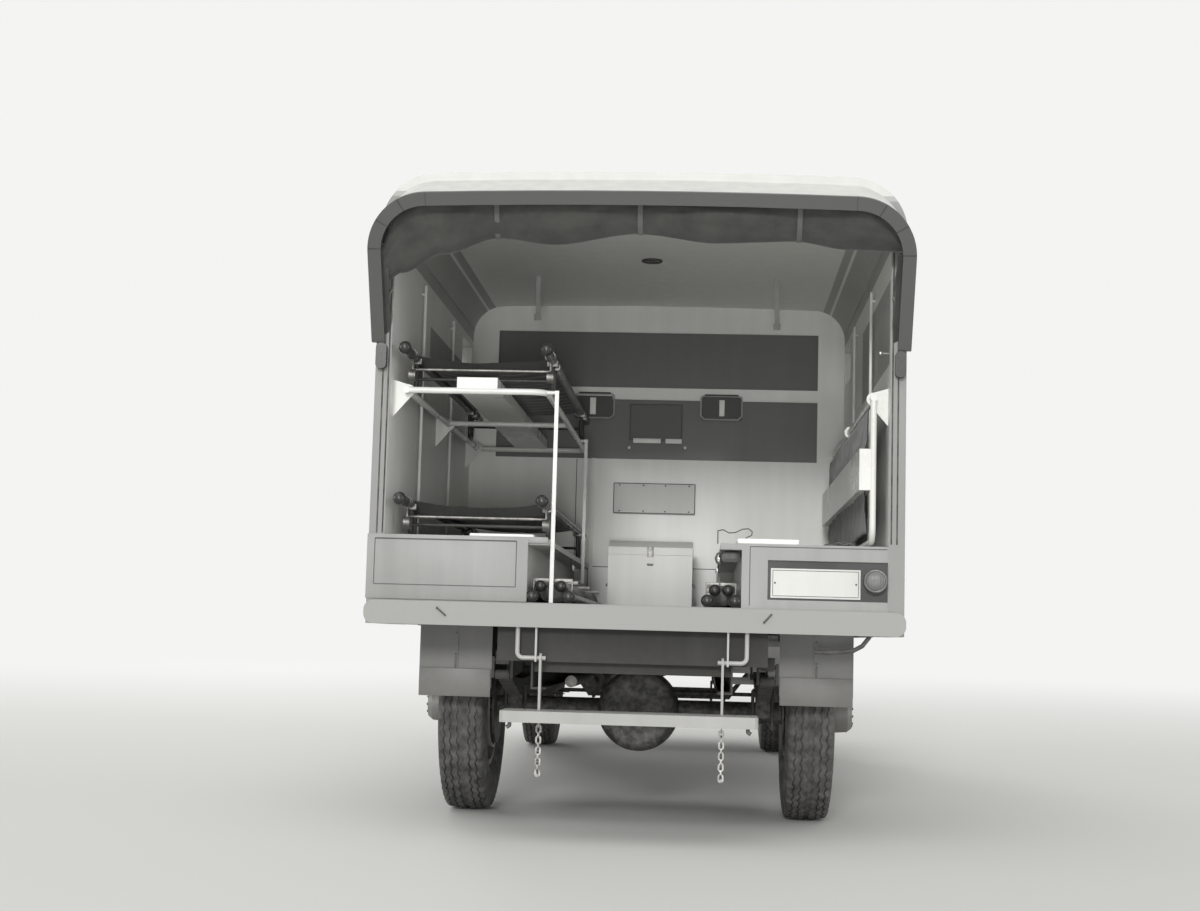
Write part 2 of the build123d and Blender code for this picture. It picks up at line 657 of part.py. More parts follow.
cab = cab_volume(0, nose_y, cab_bottom) - cab_volume(cab_wall, nose_y - 50, cab_bottom + cab_floor)
door_hole = block(cab_half_width - 100, cab_half_width + 60, door_rear_y, door_front_y, door_bottom, door_top)
door = cab & block(cab_half_width - 100, cab_half_width + 60, door_rear_y + door_gap,
                   door_front_y - door_gap, door_bottom + door_gap, door_top - door_gap)
cab -= [door_hole, flipped(door_hole)]
window = (door_rear_y + 75, door_front_y - 70, cab_scuttle_z + 35, door_top - 75)
door -= block(cab_half_width - 80, cab_half_width + 40, *window)
strap_heights = (door_bottom + 160, cab_scuttle_z - 65, door_top - 180)
for z in strap_heights:
    door += block(cab_half_width, cab_half_width + 5, hinge_y - 230, hinge_y - 8, z - 15, z + 15)
    door += Pos(hinge_x, hinge_y, z) * Cylinder(10, 30) - Pos(hinge_x, hinge_y, z) * Cylinder(5, 40)
    door += block(cab_half_width, hinge_x, hinge_y - 12, hinge_y - 6, z - 15, z + 15)
    door -= Pos(hinge_x, hinge_y, z) * Cylinder(5, 40)
    for side in (-1, 1):
        hinge = Pos(side * hinge_x, hinge_y, z) * Cylinder(4.7, 70)
        for lug_z in (z - 26, z + 26):
            hinge += Pos(side * hinge_x, hinge_y, lug_z) * Cylinder(10, 20)
            hinge += block(side * (cab_half_width - 2), side * hinge_x, hinge_y + 4, hinge_y + 60, lug_z - 10,
                           lug_z + 10)
        cab += hinge
handle_x, handle_y, handle_z = cab_half_width + 30, door_rear_y + 60, cab_scuttle_z - 125
handle = rod((cab_half_width, handle_y, handle_z), (handle_x + 4, handle_y, handle_z), 9)
handle += rod((handle_x, handle_y - 10, handle_z), (handle_x, handle_y + 100, handle_z), 8)
door += handle
panes = (35, 770, cab_scuttle_z + 65, cab_roof - 150)
seat_box_top = 1080
for side in (-1, 1):
    cab -= block(side * panes[0], side * panes[1], cab_taper_y - 220, firewall_y + 100, panes[2], panes[3])
    cab += block(side * 150, side * 690, nose_y + 20, nose_y + 520, cab_bottom + cab_floor, seat_box_top)
cab += block(cab_wall - cab_half_width, cab_half_width - cab_wall, screen_head_y, screen_head_y + 40,
             cab_scuttle_z - 165, cab_scuttle_z - 45)
tunnel_half, tunnel_skin, tunnel_top = 165, 10, 870
tunnel_outer = tunnel_half + tunnel_skin
tunnel = block(-tunnel_half, tunnel_half, cab_taper_y - 30, firewall_y + 10, cab_bottom - 20, tunnel_top)
cab -= tunnel & block(-tunnel_half, tunnel_half, cab_taper_y, firewall_y + 10, cab_bottom - 20, tunnel_top)
tunnel_shell = block(-tunnel_outer, tunnel_outer, cab_taper_y - 20, firewall_y, cab_bottom + 5,
                     tunnel_top + tunnel_skin)
cab += tunnel_shell - tunnel
node("cab_shell", cab)
node("door_left", flipped(door))
node("door_right", door)

# Glass: two screen panes and a pane in each door
slab = Polygon((screen_head_y - 24, cab_roof + 40), (screen_head_y - 18, cab_roof + 40),
               (screen_foot_y - 18, cab_scuttle_z), (screen_foot_y - 24, cab_scuttle_z), align=None)
pane = along_x(slab, panes[0] + seat_gap, panes[1] - seat_gap)
pane &= block(0, 1000, cab_taper_y - 220, firewall_y + 100, panes[2] + seat_gap, panes[3] - seat_gap)
node("cab_glass", pair(pane))
door_pane = block(cab_half_width - 23, cab_half_width - 17, window[0] + seat_gap, window[1] - seat_gap,
                  window[2] + seat_gap, window[3] - seat_gap)
node("door_glass_left", flipped(door_pane))
node("door_glass_right", door_pane)

# Seats and the steering wheel with its column
cushion = block(155, 685, nose_y + 120, nose_y + 525, seat_box_top + seat_gap, seat_box_top + 110)
cushion = fillet(cushion.edges().filter_by(Axis.Z), 40)
backrest = block(155, 685, nose_y + seat_gap, nose_y + 110, seat_box_top + 30, seat_box_top + 560)
backrest = fillet(backrest.edges().filter_by(Axis.Y), 50)
node("cab_seats", pair(cushion), pair(backrest))
column_top = Vector(420, firewall_y - 490, cab_scuttle_z - 125)
column_foot = Vector(420, firewall_y - 100, cab_scuttle_z - 415)
column_line = (column_foot - column_top).normalized()
column = rod(tuple(column_top), tuple(column_top + column_line * 700), 20)
column -= block(0, 800, firewall_y - cab_wall - seat_gap, firewall_y + 400, 500, 1500)
helm = Torus(205, 13) + Cylinder(32, 40)
for turn in (90, 210, 330):
    helm += Rot(Z=turn) * (Pos(105, 0, 0) * Box(200, 22, 10))
helm = Plane(origin=tuple(column_top), x_dir=(1, 0, 0), z_dir=tuple(column_line)).location * helm
node("steering_wheel", helm + column)

# Bonnet: two leaves hinged on the centre line, radiator shell with grille
def bonnet_section(y, half, top):
    c, t, g = bonnet_corner, bonnet_sheet, hinge_gap * 2
    shoulder = top - 25
    arc_mid = (half - c + c * sin(radians(45)), shoulder - c + c * cos(radians(45)))
    inner_mid = (half - c + (c - t) * sin(radians(45)), shoulder - c + (c - t) * cos(radians(45)))
    edges = [
        Line((g, top), (half - c, shoulder)),
        ThreePointArc((half - c, shoulder), arc_mid, (half, shoulder - c)),
        Line((half, shoulder - c), (half, bonnet_foot_z)),
        Line((half, bonnet_foot_z), (half - t, bonnet_foot_z)),
        Line((half - t, bonnet_foot_z), (half - t, shoulder - c)),
        ThreePointArc((half - t, shoulder - c), inner_mid, (half - c, shoulder - t)),
        Line((half - c, shoulder - t), (g, top - t)),
        Line((g, top - t), (g, top)),
    ]
    return Plane(origin=(0, y, 0), x_dir=(1, 0, 0), z_dir=(0, -1, 0)) * make_face(Curve() + edges)


bonnet_top = cab_scuttle_z - cowl_fall
leaf = loft([bonnet_section(firewall_y + free_gap, cowl_half_width - 4, bonnet_top),
             bonnet_section(bonnet_nose_y - free_gap, bonnet_nose_half, bonnet_nose_top)], ruled=True)
hinge_drop = bonnet_sheet / 2
hinge_start = Vector(0, firewall_y + 1.2, bonnet_top - hinge_drop)
hinge_run = Vector(0, bonnet_nose_y + 5, bonnet_nose_top - hinge_drop) - hinge_start


def knuckles(shape, shares):
    for share in shares:
        place = tuple(hinge_start + hinge_run * share)
        spot = Plane(origin=place, x_dir=(1, 0, 0), z_dir=tuple(hinge_run)).location
        shape += spot * Cylinder(11, 70) + spot * (Pos(15, 0, 0) * Box(18, bonnet_sheet, 70))
        shape -= spot * Cylinder(6.4, 90)
    return shape


node("bonnet_leaf_left", flipped(knuckles(leaf, (0.12, 0.42, 0.72))))
node("bonnet_leaf_right", knuckles(leaf, (0.28, 0.58, 0.88)))
radiator_outline = body_outline(bonnet_nose_half + 8, 700, bonnet_nose_top + 12, 110, 2500)
radiator = along_y(radiator_outline, bonnet_nose_y, bonnet_nose_y + radiator_depth)
grille_half = 252
pitch = 2 * grille_half / (grille_slats - 1)
for i in range(grille_slats):
    x = i * pitch - grille_half
    slot = Pos(x, 1080) * SlotOverall(560, 24, rotation=90)
    radiator -= along_y(slot, bonnet_nose_y + radiator_depth - 34, bonnet_nose_y + radiator_depth + 5)
radiator += rod(tuple(hinge_start), tuple(hinge_start + hinge_run), 6)
node("radiator_grille", radiator)

# Front guards, running boards and their brackets
guard_half_width = 1000
board_z = 590
guard_foot = rail_top + 8
limit = Polygon((front_y - 700, board_z), (front_y, board_z), (front_y, guard_foot), (front_y + 700, guard_foot),
                (front_y + 700, front_z + 700), (front_y - 700, front_z + 700), align=None)
ring = (Pos(front_y, front_z) * (Circle(guard_radius) - Circle(guard_radius - 6))) & limit
guard = along_x(ring, 280, guard_half_width)
lip_ring = (Pos(front_y, front_z) * (Circle(guard_radius) - Circle(guard_radius - 40))) & limit
guard += along_x(lip_ring, guard_half_width - 6, guard_half_width)
inboard = Polygon((0, firewall_y - 100), (440, firewall_y - 100), (cowl_half_width - 6, firewall_y + 3),
                  (bonnet_nose_half - 6, bonnet_nose_y - 3), (bonnet_nose_half + 14, bonnet_nose_y - 2),
                  (bonnet_nose_half + 14, 4100), (0, 4100), align=None)
guard -= along_z(inboard, 300, 1400)
valance = Polygon((cowl_half_width - 6, firewall_y + 3), (cowl_half_width, firewall_y + 3),
                  (bonnet_nose_half, bonnet_nose_y - 3), (bonnet_nose_half - 6, bonnet_nose_y - 3), align=None)
guard += along_z(valance, rail_top + seat_gap, bonnet_foot_z - free_gap)
guard += block(560, guard_half_width, door_rear_y, front_y - guard_radius + 6, board_z - 20, board_z)
for y in (door_rear_y + 120, door_front_y + 160):
    guard += block(rail_outer_x - rail_flange, guard_half_width, y, y + 50, board_z - 42, board_z - 20)
node("front_guards", pair(guard))

# Stretcher racks: tube frames hinged on wall brackets, left one up, right one hanging
def rack():
    # drawn raised, inward from its hinge rail on the right side
    rail = rod((rack_wall_x, rack_rear_y, rack_z), (rack_wall_x, rack_front_y, rack_z), rack_tube)
    loop = bent_rod([(rack_wall_x, rack_rear_y + 14, rack_z), (rack_free_x, rack_rear_y + 14, rack_z),
                     (rack_free_x, rack_front_y - 14, rack_z), (rack_wall_x, rack_front_y - 14, rack_z)], 60,
                    rack_tube - 1)
    cross = rod((rack_wall_x, 250, rack_z), (rack_free_x, 250, rack_z), rack_tube - 2)
    plank = block(rack_plank_near, rack_plank_far, rack_rear_y + 6, rack_front_y - 6, rack_z + 6, rack_z + 56)
    return rail + loop + cross + plank


propped_rack = rack()
prop_x = rack_free_x - 40
prop_half = 8
prop_hook_y, prop_hook_z = 900, 1065
# Y, foot Z
props = [(rack_rear_y + 25, floor_top + seat_gap), (prop_hook_y, prop_hook_z - prop_half)]
for y, foot_z in props:
    propped_rack += rod((rack_free_x + 2, y, rack_z), (prop_x, y, rack_z), prop_half)
    propped_rack += block(prop_x - prop_half, prop_x + prop_half, y - prop_half, y + prop_half, foot_z,
                          rack_z + prop_half)
hook_tip = (locker_x - seat_gap, prop_hook_y, prop_hook_z)
propped_rack += rod((prop_x, prop_hook_y, prop_hook_z), hook_tip, prop_half)
node("rack_left", flipped(propped_rack))
node("rack_right", Pos(rack_wall_x, 0, rack_z) * Rot(Y=-90) * Pos(-rack_wall_x, 0, -rack_z) * rack())
ear_tip_x = rack_wall_x - rack_ear_reach
ear = Polygon((inner_half_width, rack_z + 45), (inner_half_width, rack_z - 110), (ear_tip_x, rack_z - 22),
              (ear_tip_x, rack_z + 22), align=None)
ear += Pos(rack_wall_x, rack_z) * Circle(27)
ear -= Pos(rack_wall_x, rack_z) * Circle(rack_tube + running_gap)
brackets = [pair(along_y(ear, y, y + 12)) for y in (-860, 300, 1340)]
wall_rods = []
wall_rod_x = inner_half_width - 17
wall_rod_top = roof_top - slot_drop
for y in (-240, 650):
    wall_rod = rod((wall_rod_x, y, bench_top + 20), (wall_rod_x, y, wall_rod_top), 7)
    for z in (bench_top + 60, wall_rod_top - 40):
        wall_rod += rod((wall_rod_x, y, z), (inner_half_width, y, z), 6)
    wall_rods.append(pair(wall_rod))
node("rack_brackets", *brackets, *wall_rods)


# Stretchers: two open ones on the left, two folded ones on the floor
def stretcher(base):
    pole_z = base + stretcher_rise
    frame_part = None
    y0 = rack_rear_y - 30
    for x in (rack_free_x, rack_wall_x):
        pole = rod((-x, y0, pole_z), (-x, y0 + stretcher_length, pole_z), pole_radius)
        for y in (-620, 1080):
            pole += bent_rod([(-x, y - 55, pole_z), (-x, y - 55, base + 9), (-x, y + 55, base + 9),
                              (-x, y + 55, pole_z)], 30, 9)
        frame_part = pole if frame_part is None else frame_part + pole
    for y in (-620, 1080):
        frame_part += rod((-rack_free_x, y - 55, base + 62), (-rack_wall_x, y - 55, base + 62), 7)
    return frame_part


def stretcher_canvas(base):
    pole_z = base + stretcher_rise
    x0 = pole_radius + seat_gap - rack_wall_x
    x1 = -(rack_free_x + pole_radius + seat_gap)
    middle = (x0 + x1) / 2
    edges = [ThreePointArc((x0, pole_z + 6), (middle, pole_z - 30), (x1, pole_z + 6)),
             Line((x1, pole_z + 6), (x1, pole_z - 6)),
             ThreePointArc((x1, pole_z - 6), (middle, pole_z - 42), (x0, pole_z - 6)),
             Line((x0, pole_z - 6), (x0, pole_z + 6))]
    return along_y(make_face(Curve() + edges), -700, 1160)


upper_base = rack_z + rack_tube + seat_gap
lower_base = bench_top + seat_gap
node("stretcher_frames", stretcher(upper_base), stretcher(lower_base))
node("stretcher_canvases", stretcher_canvas(upper_base), stretcher_canvas(lower_base))
folded = []
for x0, x1 in ((-412, -262), (300, 412)):
    bundle = along_y(Pos((x0 + x1) / 2, floor_top + 50.3) * RectangleRounded(x1 - x0 - 10, 100, 30), -740, 1270)
    for x in (x0, x1):
        bundle += rod((x, rack_rear_y + 10, 946), (x, rack_rear_y + 10 + stretcher_length, 946), pole_radius)
    folded.append(bundle)
node("stretchers_folded", folded)

# Gathered curtain behind the hood's rim
roll_z = hood_foot_z + 425
roll_in = 82
roll_y = tail_y - (roll_z - hood_foot_z) * hood_back / hood_height + roll_in * cos(radians(mouth_angle))
roll = Rot(Z=mouth_angle) * RectangleRounded(125, 230, 55)
roll = Pos(roll_y, roll_z + roll_in * sin(radians(mouth_angle))) * roll
curtain = along_x(roll, -body_half_width, body_half_width)
room = extrude(mouth * mouth_face(hood_wall + seat_gap), amount=-720)
node("curtain", curtain & room)

# Chest on the floor and its lid
chest_x, chest_y0, chest_y1, chest_z, lid_z = 220, 1090, 1395, 1220, 1300
chest_mid_y = (chest_y0 + chest_y1) / 2
chest_wall = 12
lid_seam = chest_z + 1
lid_eaves = chest_z + 40
chest_inner_x = chest_x - chest_wall
chest = block(-chest_x, chest_x, chest_y0, chest_y1, floor_top, chest_z)
chest -= block(-chest_inner_x, chest_inner_x, chest_y0 + chest_wall, chest_y1 - chest_wall, floor_top + chest_wall,
               chest_z + 5)


def arched_lid(inset, foot):
    rear, front, eaves = chest_y0 + inset, chest_y1 - inset, lid_eaves - inset * 2 / 3
    return make_face(Curve() + [
        Line((rear, foot), (front, foot)),
        Line((front, foot), (front, eaves)),
        ThreePointArc((front, eaves), (chest_mid_y, lid_z - inset), (rear, eaves)),
        Line((rear, eaves), (rear, foot)),
    ])


chest_lid = along_x(arched_lid(0, lid_seam), -chest_x, chest_x)
chest_lid -= along_x(arched_lid(chest_wall, chest_z - 5), -chest_inner_x, chest_inner_x)
chest_hinge_y, chest_hinge_z = chest_y1 + 7, chest_z + 1
for x in (-140, 140):
    chest_lid += shaft_hole(x, chest_hinge_y, chest_hinge_z, 6, 60)
    chest_lid += block(x - 30, x + 30, chest_y1, chest_hinge_y, chest_z + 3, chest_z + 20)
hasp = block(-20, 20, chest_y0 - 8, chest_y0, chest_z - 45, chest_z - 12)
node("chest", chest + hasp)
node("chest_lid", chest_lid)

# Fold-up step and the two chains under it
board_top = step_pivot_z - step_drop
board_rear_y = step_pivot_y - 180
board = block(-step_half, step_half, board_rear_y, board_rear_y + step_depth, board_top - step_thick, board_top)
board = fillet(board.edges().filter_by(Axis.Z), 15)
chain_pivot_z = board_top - step_thick - 18
for x in (-arm_x, arm_x):
    arm = block(x - 5, x + 5, step_pivot_y - 20, step_pivot_y + 20, board_top, step_pivot_z)
    arm += shaft_hole(x, step_pivot_y, step_pivot_z, 20, 10)
    board += arm - shaft_hole(x, step_pivot_y, step_pivot_z, 9 + running_gap, 30)
    staple = block(x - 3, x + 3, step_pivot_y - 11, step_pivot_y + 11, chain_pivot_z, board_top - step_thick)
    staple += shaft_hole(x, step_pivot_y, chain_pivot_z, 11, 6)
    board += staple - shaft_hole(x, step_pivot_y, chain_pivot_z, 6.2, 20)
node("step", board)
link_pitch = link_long - 2 * link_wire - link_slack
first_link_z = chain_pivot_z - (link_long - link_wire) / 2
link_eye = SlotOverall(link_long - 2 * link_wire, link_wide - 2 * link_wire)
link = extrude(SlotOverall(link_long, link_wide) - link_eye, amount=link_wire / 2, both=True)
chain = []
for x in (-arm_x, arm_x):
    for k in range(links):
        turn = Rot(X=90) * Rot(Z=90) if k % 2 == 0 else Rot(Y=90)
        chain.append(Pos(x, step_pivot_y, first_link_z - k * link_pitch) * turn * link)
    toggle_z = first_link_z - (links - 1) * link_pitch - link_long / 2 + link_wire + 4.8
    chain.append(rod((x, step_pivot_y - 28, toggle_z), (x, step_pivot_y + 28, toggle_z), 4.5))
node("step_chains", chain)


def export_all():
    tip = Pos(0, 0, tyre_radius) * Rot(X=-rake) * Pos(0, 0, -tyre_radius)
    placed = {name: [tip * solid for solid in solids] for name, solids in parts.items()}
    boxes = [solid.bounding_box() for solids in placed.values() for solid in solids]
    middle = (min(box.min.Y for box in boxes) + max(box.max.Y for box in boxes)) / 2
    os.makedirs("parts", exist_ok=True)
    for name, solids in placed.items():
        moved = [Pos(0, -middle, 0) * solid for solid in solids]
        export_step(moved[0] if len(moved) == 1 else Compound(moved), "parts/" + name + ".step")
    print("the whole truck moves back by", middle)


export_all()
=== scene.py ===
# %% [markdown]
# A military ambulance truck, seen from behind, dressed in Blender.
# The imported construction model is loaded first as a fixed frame: chassis, cab, load body, racks and wheels.
# Everything that is added here sits on that frame and rides on one of its moving bodies.

# %% Load the frame
from math import atan2, cos, pi, radians, sin

import bmesh
import bpy
from mathutils import Matrix, Vector, noise


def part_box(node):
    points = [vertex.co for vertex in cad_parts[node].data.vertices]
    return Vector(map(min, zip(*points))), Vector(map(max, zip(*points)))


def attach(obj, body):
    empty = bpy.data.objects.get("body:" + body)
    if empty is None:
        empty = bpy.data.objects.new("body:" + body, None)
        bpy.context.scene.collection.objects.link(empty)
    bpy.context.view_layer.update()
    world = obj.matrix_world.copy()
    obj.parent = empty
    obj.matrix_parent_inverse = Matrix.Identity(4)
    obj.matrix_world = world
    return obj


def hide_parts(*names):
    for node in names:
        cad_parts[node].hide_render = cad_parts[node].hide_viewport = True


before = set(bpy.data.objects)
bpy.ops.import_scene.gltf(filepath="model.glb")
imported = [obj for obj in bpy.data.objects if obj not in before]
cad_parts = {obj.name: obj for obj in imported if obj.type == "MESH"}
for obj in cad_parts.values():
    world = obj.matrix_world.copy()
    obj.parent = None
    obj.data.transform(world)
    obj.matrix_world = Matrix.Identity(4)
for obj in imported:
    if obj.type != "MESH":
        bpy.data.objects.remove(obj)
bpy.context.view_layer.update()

# %% [markdown]
# The truck stands nose down by a degree and a half, but it is easier to think of its load floor as level.
# So the pieces are built level, with the rear axle over the origin, and one matrix tips them into place.

# %% Stance
RAKE = radians(1.5)
TYRE_RADIUS = 0.465
low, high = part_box("tyre_rear_left")
rear_axle_y = (low[1] + high[1]) / 2
STANCE = (Matrix.Translation((0, rear_axle_y, TYRE_RADIUS)) @ Matrix.Rotation(-RAKE, 4, "X")
          @ Matrix.Translation((0, 0, -TYRE_RADIUS)))
print("rear axle at y", round(rear_axle_y, 4))

# %% [markdown]
# The photographer stood about seven metres behind the tail, a little right of the middle, at chest height.
# The camera was turned slightly left and up, and was not quite upright, so the picture leans clockwise.

# %% Camera
FRAME_WIDTH, SENSOR, FOCAL_PIXELS = 1200, 36, 1750
EYE = (0.30, rear_axle_y - 8.03, 1.0)
yaw, pitch, roll = 0.063, 0.077, 0.0255
forward = Vector((-sin(yaw) * cos(pitch), cos(yaw) * cos(pitch), sin(pitch)))
level_right = forward.cross(Vector((0, 0, 1))).normalized()
level_up = level_right.cross(forward)
right = level_right * cos(roll) + level_up * sin(roll)
up = level_up * cos(roll) - level_right * sin(roll)
camera_data = bpy.data.cameras.new("camera")
camera_data.sensor_width = SENSOR
camera_data.lens = FOCAL_PIXELS / FRAME_WIDTH * SENSOR
camera = bpy.data.objects.new("camera", camera_data)
turn = Matrix((right, up, -forward)).transposed().to_4x4()
camera.matrix_world = Matrix.Translation(EYE) @ turn
scene = bpy.context.scene
scene.collection.objects.link(camera)
scene.camera = camera
print("lens", round(camera_data.lens, 1), "mm")

# %% [markdown]
# A hazy day lights everything softly. A pale world gives most of it. A low hazy sun behind the
# photographer reaches in under the hood to the front wall of the bay, and a wide one overhead lifts
# the roof. Four weak lamps stand for light thrown back by the road and by bright walls on the other sides.

# %% Light
scene.view_settings.view_transform = "Standard"


def lamp(kind, name, place, target, strength, **shape):
    data = bpy.data.lights.new(name, kind)
    data.energy = strength
    for key, value in shape.items():
        setattr(data, key, value)
    made = bpy.data.objects.new(name, data)
    aim = (Vector(target) - Vector(place)).to_track_quat("-Z", "Y").to_matrix().to_4x4()
    made.matrix_world = Matrix.Translation(place) @ aim
    scene.collection.objects.link(made)


for name, place, target, power, size in (("road_behind", (0.2, -10.2, 0.55), (0, -1.0, 1.9), 130, 1.0),
                                         ("wall_right", (17.0, -4.0, 4.5), (0, 0, 1.6), 520, 6.0),
                                         ("wall_front", (-7.0, 19.0, 5.0), (0, 1, 1.6), 950, 6.0),
                                         ("wall_left", (-17.0, -2.0, 4.5), (0, 0, 1.6), 560, 6.0)):
    lamp("AREA", name, place, target, power, shape="DISK", size=size)
for name, towards, strength, spread in (("low_hazy_sun", (-0.09, -1.0, 0.35), 1.45, 11),
                                        ("sky_overhead", (-0.25, -0.8, 2.2), 0.9, 55)):
    lamp("SUN", name, towards, (0, 0, 0), strength, angle=radians(spread))
print("six lamps")

# %% [markdown]
# Every material is a small graph of nodes. One helper turns a written colour into the linear values that the
# renderer uses, and one adds a node with its settings and inputs. Three more hold what most finishes share:
# an empty material, a mottle of two tones, and the shader at the end.

# %% Colour and node helpers


def linear(hex_colour):
    values = [int(hex_colour[i:i + 2], 16) / 255 for i in (1, 3, 5)]
    return [v / 12.92 if v <= 0.04045 else ((v + 0.055) / 1.055) ** 2.4 for v in values] + [1.0]


def add(owner, kind, inputs=None, **settings):
    # an input takes a plain value, a written colour, a socket, or a node, which gives its first output in use
    tree = owner.node_tree
    made = tree.nodes.new("ShaderNode" + kind)
    for key, value in settings.items():
        setattr(made, key, value)
    for key, value in (inputs or {}).items():
        if isinstance(value, bpy.types.Node):
            value = next(out for out in value.outputs if out.enabled)
        if isinstance(value, bpy.types.NodeSocket):
            tree.links.new(value, made.inputs[key])
        else:
            made.inputs[key].default_value = linear(value) if isinstance(value, str) else value
    return made


def new_material(name):
    # gives the empty material, and the place of a point in its object
    mat = bpy.data.materials.new(name)
    mat.use_nodes = True
    mat.node_tree.nodes.clear()
    mat.diffuse_color = (0.5, 0.5, 0.5, 1)
    return mat, add(mat, "TexCoord").outputs["Object"]


def coat(mat, colour, inputs, height=None, strength=0.3, distance=0.001):
    # the end of most finishes: a shader, roughened by a bump where a height is given
    if height is not None:
        bump = add(mat, "Bump", {"Strength": strength, "Distance": distance, "Height": height})
        inputs = {"Normal": bump, **inputs}
    add(mat, "OutputMaterial", {"Surface": add(mat, "BsdfPrincipled", {"Base Color": colour, **inputs})})
    return mat


def mottled(mat, where, grain, span, dark, pale, most=1.0):
    # two tones that break up in patches; grain is the noise's scale, detail and roughness
    inputs = dict(zip(("Scale", "Detail", "Roughness"), grain), Vector=where)
    patches = add(mat, "TexNoise", inputs)
    share = add(mat, "MapRange", {"From Min": span[0], "From Max": span[1], "To Max": most, "Value": patches})
    return patches, add(mat, "Mix", {0: share, 6: dark, 7: pale}, data_type="RGBA")


print("helpers ready")

# %% [markdown]
# One pressed wall is often painted in two tones, and the construction model gives it one material slot.
# So a finish can be told to change colour inside a few boxes, measured in the truck's level frame.
# Each box is three comparisons multiplied together: one inside it and nought outside.

# %% Painted areas


def level_place(mat):
    # where a point lies when the load floor is level
    back = STANCE.inverted().to_translation()
    where = add(mat, "TexCoord").outputs["Object"]
    return add(mat, "Mapping", {"Rotation": (RAKE, 0, 0), "Location": back, "Vector": where})


def inside_box(mat, axes, low, high):
    share = None
    for axis, a, b in zip(axes, low, high):
        hit = add(mat, "Math", {0: axis, 1: (a + b) / 2, 2: abs(b - a) / 2}, operation="COMPARE")
        share = hit if share is None else add(mat, "Math", {0: share, 1: hit}, operation="MULTIPLY")
    return share


def area_colours(mat, tone, areas):
    # areas are rows of colour, low corner and high corner, and a later row covers an earlier one
    axes = add(mat, "SeparateXYZ", {0: level_place(mat)}).outputs
    for tint, low, high in areas:
        tone = add(mat, "Mix", {0: inside_box(mat, axes, low, high), 6: tone, 7: tint}, data_type="RGBA")
    return tone


print("areas ready")

# %% [markdown]
# Paint on a service vehicle is never one flat colour. Broad soft patches show where it was sprayed
# and wiped, dust gathers low down, and fine orange peel breaks up the shine.
# The photograph is black and white, so every colour here is a neutral grey of the tone it shows.

# %% Painted steel
DUST_FOOT = 0.35


def brushed_paint(name, colour, dusty, patch=0.12, shine=0.45, peel=0.12, dust_top=1.0, dust=0.35, areas=()):
    mat, where = new_material(name)
    # patches about 400 mm across
    broad = add(mat, "TexNoise", {"Scale": 2.5, "Detail": 5.0, "Roughness": 0.6, "Vector": where})
    # streaks run down the walls, 60 mm wide
    squeeze = add(mat, "Mapping", {"Scale": (16, 16, 1.2), "Vector": where})
    streak = add(mat, "TexNoise", {"Scale": 1.0, "Detail": 3.0, "Vector": squeeze})
    summed = add(mat, "Math", {0: broad, 1: streak}, operation="ADD")
    tone = add(mat, "MapRange", {"From Min": 0.75, "From Max": 1.25, "To Min": 1 - patch,
                                 "To Max": 1 + patch * 0.25, "Value": summed})
    ground = area_colours(mat, colour, areas) if areas else colour
    shaded = add(mat, "Mix", {0: 1.0, 6: ground, 7: tone}, data_type="RGBA", blend_type="MULTIPLY")
    # dust lies thickest near the ground and breaks up in patches 100 mm across
    height = add(mat, "SeparateXYZ", {0: where}).outputs[2]
    low_down = add(mat, "MapRange", {"From Min": dust_top, "From Max": DUST_FOOT, "Value": height})
    mottle = add(mat, "TexNoise", {"Scale": 10.0, "Detail": 8.0, "Roughness": 0.7, "Vector": where})
    amount = add(mat, "Math", {0: low_down, 1: mottle}, operation="MULTIPLY")
    amount = add(mat, "Math", {0: amount, 1: dust * 2}, operation="MULTIPLY")
    dusted = add(mat, "Mix", {0: amount, 6: shaded, 7: dusty}, data_type="RGBA")
    gloss = add(mat, "MapRange", {"From Min": 0.3, "From Max": 0.7, "To Min": shine - 0.08,
                                  "To Max": shine + 0.12, "Value": broad})
    # orange peel 3 mm across
    fine = add(mat, "TexNoise", {"Scale": 330.0, "Detail": 2.0, "Vector": where})
    return coat(mat, dusted, {"Roughness": gloss, "IOR": 1.5}, fine, peel, 0.0008)


INNER = 1.0255
FRONT_Y = 1.5585
BACK_Y = -0.9392
GREY, DUSTY = "#A4A4A1", "#B3B1AB"
# the load space above the floor, and the rounded shoulders in five boxes that get narrower
bay_paint_light_and_shade = [("#E0E0DC", (-half, BACK_Y, low), (half, FRONT_Y, high)) for half, low, high in (
    (INNER, 0.925, 2.40), (1.021, 2.39, 2.441), (1.007, 2.44, 2.491), (0.985, 2.49, 2.541),
    (0.951, 2.53, 2.581), (0.905, 2.5705, 2.6215))]
# two darker grey patches high on the side walls, the ceiling and the roof top, and last the rear edges of the
# walls
bay_paint_light_and_shade += [
    ("#9A9A97", (-1.03, 0.03, 2.08), (-1.02, 1.08, 2.22)),
    ("#9A9A97", (1.02, -0.90, 1.93), (1.03, 0.37, 2.28)),
    # the ceiling is a little darker than the walls as painted shade, and the roof top lighter than the sides
    # as painted light from the sky
    ("#C8C8C4", (-1.3, -0.95, 2.6217), (1.3, 1.60, 2.80)),
    ("#868683", (-1.2, -0.95, 0.70), (1.2, -0.9394, 2.60))]
